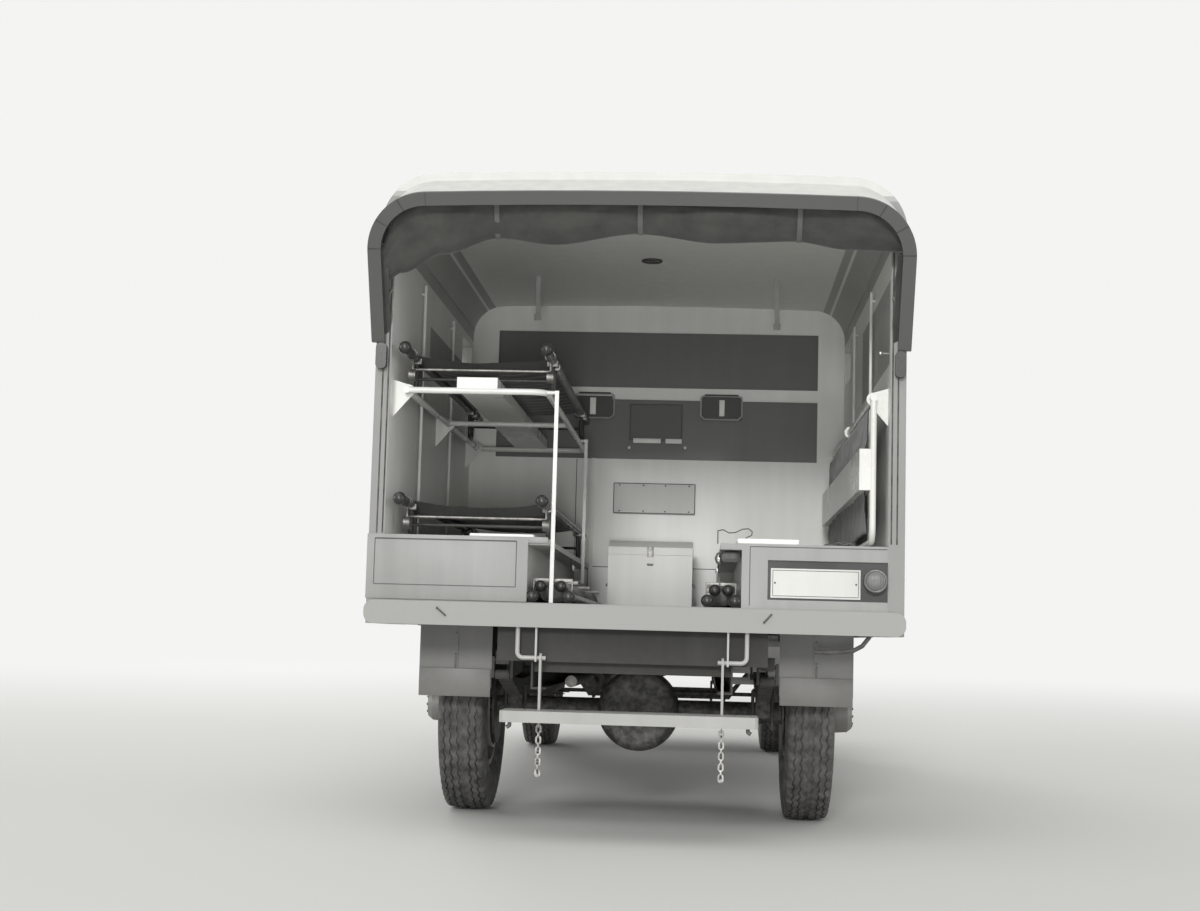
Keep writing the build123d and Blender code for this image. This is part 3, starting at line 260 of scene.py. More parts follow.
# bands, hatch and panels of the front wall: colour, left and right end, foot and top
bulkhead_areas = [(tint, (x0, 1.40, z0), (x1, 1.55, z1)) for tint, x0, x1, z0, z1 in (
    ("#636360", -0.881, 0.881, 2.160, 2.468), ("#666663", -0.881, 0.881, 1.764, 2.094),
    ("#50504D", -0.1405, 0.1405, 1.873, 2.066), ("#B9B9B5", -0.2205, 0.2205, 1.468, 1.6285),
    ("#3A3A38", -0.4505, -0.2415, 1.987, 2.1105), ("#3A3A38", 0.2485, 0.4705, 1.989, 2.1185))]
bulkhead_areas.append((GREY, (-1.1, FRONT_Y, 0.90), (1.1, 1.57, 2.70)))
service_paint = brushed_paint("matt_service_paint_on_steel", GREY, DUSTY)
wall_paint_light_and_shade = brushed_paint("body_paint_outside_enamel_inside_light_and_shade", GREY, DUSTY, patch=0.06, areas=bay_paint_light_and_shade)
locker_paint_and_recess_shade = brushed_paint("locker_paint_enamel_and_recess_shade", "#929290", "#A3A19B", areas=[
    ("#D6D6D2", (-INNER, -0.915, 0.925), (INNER, FRONT_Y, 1.30)),
    # the recess round the number plate is painted near black as painted shade
    ("#1E1E1D", (0.5425, -0.934, 0.9565), (1.0235, -0.90, 1.1155))])
flap_paint = brushed_paint("arch_paint_and_rubber_flaps", "#787875", "#8F8D87", areas=[
    ("#5C5C5A", (-0.93, -0.60, 0.50), (0.93, -0.56, 0.90))])
bulkhead_enamel = brushed_paint("front_wall_enamel", "#E6E6E2", "#BDBBB5", patch=0.06, shine=0.38,
                                areas=bulkhead_areas)
cabin_enamel = brushed_paint("pale_brushed_enamel", "#DADAD6", "#BDBBB5", patch=0.07, shine=0.38)
rack_enamel = brushed_paint("white_stove_enamel", "#DADAD6", "#C5C3BD", patch=0.06, shine=0.3, peel=0.05)
wheel_paint = brushed_paint("dark_wheel_paint", "#5C5C5A", "#8F8D88", patch=0.2, shine=0.5, dust=0.6)
chassis_paint = brushed_paint("black_chassis_paint", "#2C2C2A", "#5C5A56", patch=0.3, shine=0.78, dust=0.7,
                              dust_top=0.9)
print("paints:", len(bpy.data.materials))

# %% [markdown]
# The hood over the tail has a pressed rim in a darker tone, made darker still as painted shade, since its
# face looks down and back. Everything behind the slanting plane of its mouth is rim, so one dot product with
# that plane's direction picks it out. The rim is made of straight and corner pressings, and the thin joints
# between them fan out round each upper corner.

# %% Hood paint
MOUTH_LEAN = 0.4491
MOUTH_FOOT = 1.975
TAIL_Y = -0.94
mouth_way = (0, -cos(MOUTH_LEAN), -sin(MOUTH_LEAN))
mouth_up = (0, -sin(MOUTH_LEAN), cos(MOUTH_LEAN))
rim_from = TAIL_Y * mouth_way[1] + MOUTH_FOOT * mouth_way[2] + 0.001
corner_from = TAIL_Y * mouth_up[1] + MOUTH_FOOT * mouth_up[2] + 0.404
# the top of the hood is painted lighter than its sides as painted light from the sky, and its inside darker
# as painted shade
hood_paint_light_and_shade = brushed_paint("hood_paint_with_lit_top_and_shaded_rim", "#CACAC6", DUSTY, areas=[
    (GREY, (-1.3, -2.0, 1.90), (1.3, 0.0, 2.50)), ("#7E7E7B", (-1.06, -2.0, 1.90), (1.06, 0.0, 2.55))])
place = level_place(hood_paint_light_and_shade)
beyond = add(hood_paint_light_and_shade, "VectorMath", {0: place, 1: mouth_way}, operation="DOT_PRODUCT").outputs["Value"]
climb = add(hood_paint_light_and_shade, "VectorMath", {0: place, 1: mouth_up}, operation="DOT_PRODUCT").outputs["Value"]
in_rim = add(hood_paint_light_and_shade, "Math", {0: beyond, 1: rim_from}, operation="GREATER_THAN")
# each upper corner is a fan about its centre: how far past it a point lies, upwards and outwards
upwards = add(hood_paint_light_and_shade, "Math", {0: climb, 1: corner_from}, operation="SUBTRACT")
side_x = add(hood_paint_light_and_shade, "Math", {0: add(hood_paint_light_and_shade, "SeparateXYZ", {0: place})}, operation="ABSOLUTE")
outwards = add(hood_paint_light_and_shade, "Math", {0: side_x, 1: 0.86}, operation="SUBTRACT")
turned_by = add(hood_paint_light_and_shade, "Math", {0: upwards, 1: outwards}, operation="ARCTAN2")
to_joint = add(hood_paint_light_and_shade, "Math", {0: turned_by, 1: pi / 12}, operation="PINGPONG")
joint = add(hood_paint_light_and_shade, "Math", {0: to_joint, 1: 0.012}, operation="LESS_THAN")
for way, least in ((outwards, 0.0), (upwards, -0.01)):
    beside = add(hood_paint_light_and_shade, "Math", {0: way, 1: least}, operation="GREATER_THAN")
    joint = add(hood_paint_light_and_shade, "Math", {0: joint, 1: beside}, operation="MULTIPLY")
# the rim's tone is partly its own darker paint and partly painted shade; the joints between pressings are
# darker
rim_paint_and_shade = add(hood_paint_light_and_shade, "Mix", {0: joint, 6: "#51514F", 7: "#333331"}, data_type="RGBA")
hood_colour = hood_paint_light_and_shade.node_tree.nodes["Principled BSDF"].inputs["Base Color"]
behind_rim = hood_colour.links[0].from_socket
with_rim_paint_and_shade = add(hood_paint_light_and_shade, "Mix", {0: in_rim, 6: behind_rim, 7: rim_paint_and_shade}, data_type="RGBA")
hood_paint_light_and_shade.node_tree.links.new(with_rim_paint_and_shade.outputs[2], hood_colour)
print("hood paint ready")

# %% [markdown]
# Bare and oily iron under the truck is rough and uneven: dark scale, paler dust and a dull sheen. Tyre
# rubber is carbon black, greyed by road dust that sticks to everything but the freshly worn ribs.

# %% Iron and tyre rubber


def oily_iron(name, colour, pale, roughness, metallic):
    mat, where = new_material(name)
    # scale and grime in patches of 30 mm
    grime, tone = mottled(mat, where, (33.0, 8.0, 0.65), (0.4, 0.7), colour, pale)
    return coat(mat, tone, {"Roughness": roughness, "Metallic": metallic}, grime)


axle_iron = oily_iron("oily_cast_iron", "#363634", "#6B6965", 0.62, 0.35)
chain_iron = oily_iron("galvanised_chain_iron", "#73726F", "#9E9C98", 0.45, 0.8)
bright_steel = oily_iron("worn_bright_steel", "#A9A9A6", "#C6C6C2", 0.3, 0.95)

tyre_rubber, where = new_material("dusty_tyre_rubber")
rubber_tone = mottled(tyre_rubber, where, (22.0, 7.0, 0.65), (0.35, 0.7), "#333332", "#6E6C68", most=0.75)[1]
grit = add(tyre_rubber, "TexNoise", {"Scale": 400.0, "Detail": 3.0, "Vector": where})
coat(tyre_rubber, rubber_tone, {"Roughness": 0.82, "IOR": 1.5}, grit, 0.35)
print("irons and rubber ready")

# %% [markdown]
# Canvas is a plain weave. Its threads are under a millimetre, too fine for this view, so the weave is
# drawn coarse, a dozen millimetres wide: two crossed wave patterns raise the warp and the weft in turn.

# %% Canvas


def canvas_cloth(name, colour, worn, scale=25.0):
    mat, where = new_material(name)
    # the waves are pi / 10 / scale metres apart, so 12.6 mm at a scale of 25
    wave = {"Scale": scale, "Distortion": 0.4, "Vector": where}
    warp, weft = (add(mat, "TexWave", wave, bands_direction=way) for way in "XY")
    weave = add(mat, "Math", {0: warp.outputs["Fac"], 1: weft.outputs["Fac"]}, operation="MULTIPLY")
    tone = mottled(mat, where, (9.0, 6.0, 0.6), (0.35, 0.75), colour, worn)[1]
    return coat(mat, tone, {"Roughness": 0.9, "Sheen Weight": 0.25, "IOR": 1.45}, weave, 0.35, 0.0012)


curtain_canvas_and_rim_shade = canvas_cloth("dark_proofed_canvas_and_rim_shade", "#3A3A38", "#4B4B48")
stretcher_cloth_and_rack_shade = canvas_cloth("stretcher_canvas", "#20201F", "#2C2C2A")
rolled_cloth = canvas_cloth("rolled_stretcher_canvas", "#5E5E5B", "#777773")
webbing = canvas_cloth("cotton_webbing", "#A3A3A0", "#B5B5B2", scale=16.667)
strap_webbing = canvas_cloth("proofed_webbing", "#5A5A57", "#6A6A67", scale=16.667)
print("cloths ready")

# %% [markdown]
# The deck is laid in softwood boards, painted long ago and worn along the grain. They end at the steel
# sill. The step and the stretcher poles are painted wood.

# %% Boards
BOARD_WIDTH = 0.15
deck_boards_and_underside_shade, where = new_material("painted_deck_boards_and_underside_shade")
stretched = add(deck_boards_and_underside_shade, "Mapping", {"Scale": (60, 3, 60), "Vector": where})
grain, tone = mottled(deck_boards_and_underside_shade, stretched, (1.0, 6.0, 0.7), (0.4, 0.7), "#9A9A96", "#C6C6C1")
across = add(deck_boards_and_underside_shade, "SeparateXYZ", {0: where})
to_joint = add(deck_boards_and_underside_shade, "Math", {0: across, 1: BOARD_WIDTH / 2}, operation="PINGPONG")
on_board = add(deck_boards_and_underside_shade, "Math", {0: to_joint, 1: 0.0025}, operation="GREATER_THAN")
behind = add(deck_boards_and_underside_shade, "SeparateXYZ", {0: level_place(deck_boards_and_underside_shade)}).outputs[1]
sill = add(deck_boards_and_underside_shade, "Math", {0: behind, 1: TAIL_Y + 0.0015}, operation="LESS_THAN")
joined = add(deck_boards_and_underside_shade, "Math", {0: on_board, 1: sill}, operation="MAXIMUM")
# the sill face in its own tone, and the deck's underside painted dark as painted shade
ground = area_colours(deck_boards_and_underside_shade, "#9A9A96", [("#979794", (-1.2, -1.0, 0.80), (1.2, -0.9385, 0.95)),
                                               ("#4A4A47", (-1.03, -0.9380, 0.70), (1.03, 1.60, 0.8895))])
grained = add(deck_boards_and_underside_shade, "Mix", {0: 0.55, 6: ground, 7: tone}, data_type="RGBA", blend_type="MULTIPLY")
boards = add(deck_boards_and_underside_shade, "Mix", {0: sill, 6: grained, 7: ground}, data_type="RGBA")
boards = add(deck_boards_and_underside_shade, "Mix", {0: joined, 6: "#2B2B29", 7: boards}, data_type="RGBA")
coat(deck_boards_and_underside_shade, boards, {"Roughness": 0.7, "IOR": 1.5}, grain)
step_board = brushed_paint("painted_step_board", "#989895", "#A9A7A1", patch=0.1, dust=0.2)
ash_wood = brushed_paint("dark_varnished_poles", "#3C3C3A", "#5C5C58", patch=0.25, shine=0.3, dust=0.0)
print("boards ready")

# %% [markdown]
# The small finishes: clear glass, dark moulded lamp bodies, leathercloth seats and the blank plate.

# %% Glass, moulding and leathercloth
clear_glass, where = new_material("clear_plate_glass")
coat(clear_glass, "#E8ECEC", {"Roughness": 0.03, "Transmission Weight": 1.0, "IOR": 1.45, "Alpha": 0.55})

lamp_moulding, where = new_material("black_lamp_moulding")
haze = add(lamp_moulding, "TexNoise", {"Scale": 60.0, "Detail": 4.0, "Vector": where})
haze_gloss = add(lamp_moulding, "MapRange", {"To Min": 0.2, "To Max": 0.4, "Value": haze})
coat(lamp_moulding, "#2A2A29", {"IOR": 1.5, "Roughness": haze_gloss})

seat_hide, where = new_material("grained_leathercloth")
# grain cells 4 mm across
hide_grain = add(seat_hide, "TexVoronoi", {"Scale": 250.0, "Vector": where})
hide_tone = add(seat_hide, "Mix", {0: hide_grain, 6: "#2E2E2C", 7: "#484846"}, data_type="RGBA")
coat(seat_hide, hide_tone, {"Roughness": 0.5, "IOR": 1.5}, hide_grain, 0.3, 0.0008)
bright_enamel = brushed_paint("white_board_enamel", "#F0F0EC", "#D5D3CD", patch=0.04, shine=0.35)
trim_paint_and_gap_shade = brushed_paint("dark_trim_paint_and_gap_shade", "#4A4A48", "#6B6965", patch=0.15, shine=0.5)
plate_enamel = brushed_paint("white_plate_enamel", "#C6C6C2", "#B5B3AD", patch=0.08, shine=0.3, peel=0.03)


def ribbed_glass(name, deep, pale, roughness):
    mat, where = new_material(name)
    # moulded ribs 6 mm apart
    ribs = add(mat, "TexWave", {"Scale": 52.0, "Vector": where}, bands_direction="X").outputs["Fac"]
    tone = add(mat, "Mix", {0: ribs, 6: deep, 7: pale}, data_type="RGBA")
    return coat(mat, tone, {"Roughness": roughness, "IOR": 1.5}, ribs, 0.4)


lens_glass = ribbed_glass("ribbed_headlamp_glass", "#6E6E6C", "#A2A29F", 0.08)
tail_glass = ribbed_glass("deep_tail_lamp_glass", "#5C5C5A", "#747472", 0.32)
print("small finishes ready")

# %% [markdown]
# Each construction node that stays visible gets its finish. The material goes into the node's own
# slots, and nothing about its shape is touched.

# %% Finishes on the frame
finishes = {
    service_paint: ["cab_shell", "door_left", "door_right", "bonnet_leaf_left", "bonnet_leaf_right",
                    "radiator_grille", "front_guards", "step_hangers"],
    wall_paint_light_and_shade: ["body_sides", "body_roof"],
    hood_paint_light_and_shade: ["rear_hood"],
    locker_paint_and_recess_shade: ["lockers"],
    flap_paint: ["mudguards"],
    bulkhead_enamel: ["bulkhead"],
    cabin_enamel: ["chest", "chest_lid"],
    rack_enamel: ["rack_left", "rack_right", "rack_brackets"],
    wheel_paint: ["wheel_front_left", "wheel_front_right", "wheel_rear_left", "wheel_rear_right"],
    chassis_paint: ["chassis_frame", "crossmembers", "towing_eyes", "front_bumper", "fuel_tank",
                    "leaf_springs"],
    axle_iron: ["axles", "engine_block", "exhaust", "knuckle_left", "knuckle_right", "propeller_shaft",
                "tie_rod"],
    chain_iron: ["step_chains"],
    tyre_rubber: ["tyre_front_left", "tyre_front_right", "tyre_rear_left", "tyre_rear_right"],
    curtain_canvas_and_rim_shade: ["curtain"],
    stretcher_cloth_and_rack_shade: ["stretcher_canvases"],
    rolled_cloth: ["stretchers_folded"],
    ash_wood: ["stretcher_frames"],
    deck_boards_and_underside_shade: ["body_floor"],
    step_board: ["step"],
    clear_glass: ["cab_glass", "door_glass_left", "door_glass_right"],
    lamp_moulding: ["lamps", "steering_wheel"],
    seat_hide: ["cab_seats"],
    plate_enamel: ["number_plate"],
}
for material, names in finishes.items():
    for name in names:
        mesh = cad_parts[name].data
        mesh.materials.clear()
        mesh.materials.append(material)
finished = {name for names in finishes.values() for name in names}
print("unfinished nodes:", sorted(set(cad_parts) - finished))

# %% [markdown]
# New pieces start as a bmesh, are shaped by its operators, and end in set_piece: the stance tips them into
# place, their faces are turned outwards, and they ride on the body that carries them. A piece that is made
# of simple shapes is a list of rows, each a shape and its measures. Rows inside both() come twice, on the
# left and on the right, and a list in them is a path of points.

# %% Piece helpers
SHARP_ANGLE = radians(35)


def set_piece(bm, name, material, body="truck", level_frame=True, recalc=True):
    if level_frame:
        bmesh.ops.transform(bm, matrix=STANCE, verts=bm.verts)
    if recalc:
        bmesh.ops.recalc_face_normals(bm, faces=bm.faces)
    mesh = bpy.data.meshes.new(name)
    bm.to_mesh(mesh)
    bm.free()
    piece = bpy.data.objects.new(name, mesh)
    scene.collection.objects.link(piece)
    mesh.materials.append(material)
    mesh.shade_smooth()
    mesh.set_sharp_from_angle(angle=SHARP_ANGLE)
    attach(piece, body)
    return piece


def build(name, material, rows, body="truck", level_frame=True):
    bm = bmesh.new()
    for shape, *measures in rows:
        shape(bm, *measures)
    return set_piece(bm, name, material, body, level_frame)


def both(*rows):
    # on the left, the x of every point and direction changes sign
    def turned(value, side):
        if isinstance(value, list):
            return [turned(v, side) for v in value]
        return (side * value[0], *value[1:]) if isinstance(value, tuple) else value

    return [tuple(turned(value, side) for value in row) for side in (-1, 1) for row in rows]


print("piece helpers ready")

# %% [markdown]
# A few shapes are enough for nearly all the fittings. A board is a box with eased edges. A bar is a cone,
# so it can taper, and a pipe is a row of bars with a ball in each bend. A ring is a small circle, spun
# about an axis, and a stud is a short bar that starts just under a surface.

# %% Shapes


def edges_of(verts):
    return list({e for v in verts for e in v.link_edges})


def board(bm, low, high, edge=0.003, segments=2):
    # a box between two corners, with its edges eased
    made = bmesh.ops.create_cube(bm, size=1)["verts"]
    size = [abs(b - a) for a, b in zip(low, high)]
    bmesh.ops.scale(bm, vec=size, verts=made)
    bmesh.ops.translate(bm, vec=[(a + b) / 2 for a, b in zip(low, high)], verts=made)
    bmesh.ops.bevel(bm, geom=edges_of(made), offset=min(edge, min(size) * 0.45), offset_type="OFFSET",
                    segments=segments, profile=0.5, affect="EDGES", material=-1)


def bar(bm, start, end, radius, sides=16, tip=None):
    # a round bar from one point to another, tapering if a tip radius is given
    start, end = Vector(start), Vector(end)
    run = end - start
    place = Matrix.Translation((start + end) / 2) @ run.to_track_quat("Z", "Y").to_matrix().to_4x4()
    bmesh.ops.create_cone(bm, cap_ends=True, segments=sides, radius1=radius,
                          radius2=radius if tip is None else tip, depth=run.length, matrix=place)


def ball(bm, centre, radius, sides=16):
    bmesh.ops.create_uvsphere(bm, u_segments=sides, v_segments=sides // 2, radius=radius,
                              matrix=Matrix.Translation(centre))


def pipe(bm, points, radius, sides=12):
    # a bent bar: straight runs with a ball in each bend
    for a, b in zip(points[:-1], points[1:]):
        bar(bm, a, b, radius, sides)
    for p in points[1:-1]:
        ball(bm, p, radius, sides)


def ring(bm, centre, axis, radius, wire, steps=40, sides=8):
    # a round wire bent into a hoop about an axis
    centre, axis = Vector(centre), Vector(axis).normalized()
    out = axis.orthogonal().normalized()
    place = Matrix((out, axis, out.cross(axis))).transposed().to_4x4()
    made = bmesh.ops.create_circle(bm, segments=sides, radius=wire,
                                   matrix=Matrix.Translation(centre + out * radius) @ place)["verts"]
    bmesh.ops.spin(bm, geom=made + edges_of(made), cent=centre, axis=axis, angle=2 * pi, steps=steps,
                   use_merge=True)


def dome(bm, centre, size):
    # a lens: a ball squashed to its own three half sizes
    bmesh.ops.create_uvsphere(bm, u_segments=28, v_segments=14, radius=1,
                              matrix=Matrix.Translation(centre) @ Matrix.Diagonal((*size, 1)))


def stud(bm, centre, way, radius, height, sides=6):
    # a bolt head or rivet standing on a surface
    centre, way = Vector(centre), Vector(way).normalized()
    bar(bm, centre - way * 0.001, centre + way * height, radius, sides, radius * 0.82)


def ribbon(bm, points, width, across, thick):
    # a flat band through the points, width measured along the across direction
    across = Vector(across).normalized() * width / 2
    rows = [(bm.verts.new(Vector(p) - across), bm.verts.new(Vector(p) + across)) for p in points]
    faces = [bm.faces.new((a[0], b[0], b[1], a[1])) for a, b in zip(rows[:-1], rows[1:])]
    bm.normal_update()
    bmesh.ops.solidify(bm, geom=faces, thickness=thick)


def outline(x0, x1, z0, z1, y):
    # the closed path round an upright rectangle
    return [(x0, y, z0), (x1, y, z0), (x1, y, z1), (x0, y, z1), (x0, y, z0)]


def cloth_area(piece, thickness=0.002):
    # measures a sheet's flat faces, then gives it its thickness
    area = sum(face.area for face in piece.data.polygons)
    piece.modifiers.new("thickness", "SOLIDIFY").thickness = thickness
    print(piece.name, round(area, 3), "square metres")
    return area


print("shapes ready")

# %% [markdown]
# The tyres carry a road tread: wavy ribs round the middle and a row of notches on each shoulder.
# The cross-section is spun round the axle in 216 steps, then the ribs are waved and the notches sunk.

# %% Tyres
TREAD_STEPS = 216
RIB_WAVE = 0.0042
NOTCH_DEPTH = 0.0085
SECTION = [
    (-0.0715, 0.2545), (-0.0715, 0.274), (-0.090, 0.300), (-0.1035, 0.328), (-0.107, 0.352),
    (-0.1055, 0.378), (-0.1035, 0.384), (-0.1030, 0.400), (-0.1005, 0.420), (-0.0975, 0.434),
    (-0.0955, 0.447), (-0.088, 0.4565), (-0.072, 0.4590), (-0.0715, 0.4510), (-0.0655, 0.4510),
    (-0.065, 0.4610), (-0.044, 0.4630), (-0.0435, 0.4545), (-0.0365, 0.4545), (-0.036, 0.4635),
    (-0.013, 0.4648), (-0.0125, 0.4560)]
tyre_profile = SECTION + [(0.0, 0.4560)] + [(-x, r) for x, r in reversed(SECTION)]


def tyre_mesh(centre):
    bm = bmesh.new()
    points = [bm.verts.new((x, 0, r)) for x, r in tyre_profile]
    for a, b in zip(points, points[1:] + points[:1]):
        bm.edges.new((a, b))
    bmesh.ops.spin(bm, geom=bm.verts[:] + bm.edges[:], cent=(0, 0, 0), axis=(1, 0, 0), angle=2 * pi,
                   steps=TREAD_STEPS, use_merge=True, use_duplicate=False)
    bmesh.ops.remove_doubles(bm, verts=bm.verts, dist=0.00005)
    for vert in bm.verts:
        radius = Vector((0, vert.co.y, vert.co.z)).length
        step = round(atan2(vert.co.y, vert.co.z) / (2 * pi) * TREAD_STEPS) % 4
        if radius > 0.4485 and abs(vert.co.x) < 0.08:
            wave = step / 2 - 1 if step < 2 else 1 - (step - 2) / 2
            vert.co.x += RIB_WAVE * (wave + 0.25)
        if radius > 0.425 and abs(vert.co.x) > 0.0865 and step in (0, 1):
            vert.co.y *= 1 - NOTCH_DEPTH / radius
            vert.co.z *= 1 - NOTCH_DEPTH / radius
    bmesh.ops.translate(bm, vec=centre, verts=bm.verts)
    return bm


# each wheel: its place in the names, its side, the centre of its tyre and the body that it rides on
wheels = []
for end in ("front", "rear"):
    for side, hand in ((-1, "left"), (1, "right")):
        low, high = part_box(f"tyre_{end}_{hand}")
        centre = (Vector(low) + Vector(high)) / 2
        wheels.append((f"{end}_{hand}", side, centre, f"{end}_wheel_{hand}"))
for corner, side, centre, body in wheels:
    tyre = set_piece(tyre_mesh(centre), "treaded_tyre_" + corner, tyre_rubber, body,
                     level_frame=False)
    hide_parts("tyre_" + corner)
print("tyre faces:", len(tyre.data.polygons))

# %% [markdown]
# The curtain is a dark canvas sheet, rolled up and tied under the hood with three straps.
# It is one sheet with many small folds running across the truck, drawn in at the straps and slack
# between them, and it hangs lower at the left corner. Two short tables give the height of its lower and
# upper edge across the truck. A grid gives the cloth, and each point is moved to its place in the roll.

# %% Rolled curtain
LOW_EDGE = [(-1.056, 2.225), (-0.987, 2.262), (-0.81, 2.336), (-0.58, 2.397), (-0.36, 2.376), (0.0, 2.420),
            (0.32, 2.390), (0.62, 2.400), (0.84, 2.372), (1.056, 2.365)]
TOP_EDGE = [(-1.056, 2.37), (-0.98, 2.50), (-0.86, 2.548), (0.0, 2.556), (0.86, 2.548), (0.98, 2.51),
            (1.056, 2.42)]
CURTAIN_STRAPS = (-0.58, 0.0, 0.64)
HALF_WIDTH = 1.056
# how far back the mouth leans for each metre up, and how far the roll lies in front of it
LEAN_RUN = 0.4817
ROLL_IN = 0.075


def along(table, x):
    for (x0, z0), (x1, z1) in zip(table[:-1], table[1:]):
        if x <= x1:
            share = (x - x0) / (x1 - x0)
            return z0 + (z1 - z0) * share * share * (3 - 2 * share)
    return table[-1][1]


def roll_at(x):
    # the middle height and half the height of the roll
    low_z, high_z = along(LOW_EDGE, x), along(TOP_EDGE, x)
    return (high_z + low_z) / 2, (high_z - low_z) / 2


def mouth_y(z):
    return TAIL_Y - (z - MOUTH_FOOT) * LEAN_RUN


def ripple(x, y, z):
    return noise.noise(Vector((x, y, z)))


bm = bmesh.new()
bmesh.ops.create_grid(bm, x_segments=220, y_segments=60, size=1)
for vert in bm.verts:
    x = vert.co.x * HALF_WIDTH
    turn_at = 2 * pi * ((vert.co.y + 1) / 2 * 0.94 + 0.03)
    slack = min(1.0, min(abs(x - strap) for strap in CURTAIN_STRAPS) / 0.28) ** 0.7
    middle_z, half_tall = roll_at(x)
    half_deep = 0.034 + 0.022 * slack
    fold = ripple(x * 2.2, turn_at * 1.4, 3.1) * 0.016 + ripple(x * 7.0, turn_at * 3.2, 8.4) * 0.010
    pleat = 0.008 * sin(turn_at * 6 + x * 5 + 2 * ripple(x * 1.3, 0.2, 5.0)) * slack
    across = cos(turn_at) * half_deep * (1 + (fold + pleat) / half_deep * 0.8)
    tall = sin(turn_at) * half_tall * (1 + fold * 2)
    vert.co = (x, mouth_y(middle_z) + ROLL_IN + across - tall * LEAN_RUN, middle_z + tall)
curtain = set_piece(bm, "rolled_curtain", curtain_canvas_and_rim_shade, recalc=False)
curtain_area = cloth_area(curtain)
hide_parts("curtain")

# %% [markdown]
# Three straps of webbing go round the roll, in the same proofed cloth, so they hardly show against it.
# Each is a flat band, bent into a loop from a row of short strips. Two paler straps hang from the ceiling.

# %% Curtain straps
rows = []
for x in CURTAIN_STRAPS:
    middle_z, half_tall = roll_at(x)
    loop = []
    for k in range(25):
        turn_at = -pi / 2 + 2 * pi * k / 24
        tall = (half_tall + 0.006) * sin(turn_at)
        y = mouth_y(middle_z) + ROLL_IN + 0.043 * cos(turn_at) - tall * LEAN_RUN
        loop.append((x, y, middle_z + tall))
    rows.append((ribbon, loop, 0.020, (1, 0, 0), 0.0025))
build("curtain_straps", strap_webbing, rows)

# slack cloth runs down inside the rim at both sides, and its dark strips below the roll also stand for
# painted shade on the hood's inner side
heights = [2.34 - k * 0.029 for k in range(13)]
build("curtain_ends_and_rim_shade", curtain_canvas_and_rim_shade, [
    (ribbon, [(side * (1.046 + 0.003 * sin(k * 1.3)), mouth_y(z) + 0.020, z) for k, z in enumerate(heights)],
     0.030, (1, 0.3, 0), 0.006) for side in (-1, 1)])

rows = []
for x, z in ((-0.59, 2.40), (0.62, 2.37)):
    line = [(x, 0.70, 2.614), (x, 0.698, 2.5), (x + 0.003, 0.695, z + 0.04), (x + 0.004, 0.694, z)]
    rows += [(ribbon, line, 0.024, (1, 0, 0), 0.0025),
             (board, (x - 0.016, 0.688, z - 0.02), (x + 0.020, 0.700, z + 0.012), 0.002)]
build("ceiling_straps", webbing, rows)
print("straps round the roll:", len(CURTAIN_STRAPS))

# %% [markdown]
# Stretcher canvas is stretched between two poles: its long edges wrap the poles, the middle sags a
# little, and small puckers run in from the lacing. A fine grid is bent to that shape.

# %% Stretcher canvases
POLE_RADIUS = 0.018
POLE_NEAR, POLE_WALL = -0.378, -0.964
UPPER_POLES, LOWER_POLES = 1.9543, 1.3303
SHEET_MIDDLE = 0.23
SHEET_REACH = 0.93
WRAP_TURN = 3.4
WRAP_FROM = 0.88
# the share of the sheet's half length where its tail end starts to hang
TAIL_EDGE = -0.93


def stretcher_sheet(pole_z, name):
    bm = bmesh.new()
    bmesh.ops.create_grid(bm, x_segments=40, y_segments=120, size=1)
    half = (POLE_NEAR - POLE_WALL) / 2
    over = POLE_RADIUS + 0.003
    for vert in bm.verts:
        s, t = vert.co.x, vert.co.y
        wrap = max(0.0, abs(s) - WRAP_FROM) / (1 - WRAP_FROM)
        # the tail end hangs over its cross bar
        hang = max(0.0, TAIL_EDGE - t) / 0.07
        y = SHEET_MIDDLE + max(t, TAIL_EDGE) * SHEET_REACH - 0.012 * hang
        if wrap > 0:
            x = (1 if s > 0 else -1) * (half + over * sin(wrap * WRAP_TURN))
            z = pole_z + over * cos(wrap * WRAP_TURN)
        else:
            pucker = 0.004 * sin(y * 55) * (1 - abs(s)) * abs(s) * 4 + 0.006 * ripple(s * 2, y * 3, pole_z)
            sag = -0.036 * (1 - min(1.0, abs(s) / 0.9) ** 2) * (1 - 0.35 * t ** 4)
            x = s / WRAP_FROM * half
            z = pole_z + over + sag + pucker - 0.062 * hang
        vert.co = (x + (POLE_NEAR + POLE_WALL) / 2, y, z)
    sheet = set_piece(bm, name, stretcher_cloth_and_rack_shade)
    area = cloth_area(sheet)
    return sheet


upper_sheet = stretcher_sheet(UPPER_POLES, "upper_stretcher_sheet")
stretcher_sheet(LOWER_POLES, "lower_stretcher_sheet")
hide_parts("stretcher_canvases")

# %% [markdown]
# Every stretcher pole ends in a turned handle: a fat dark grip, and behind it a steel spreader plate
# with a small roller. Four of them face the tail on the open stretchers.

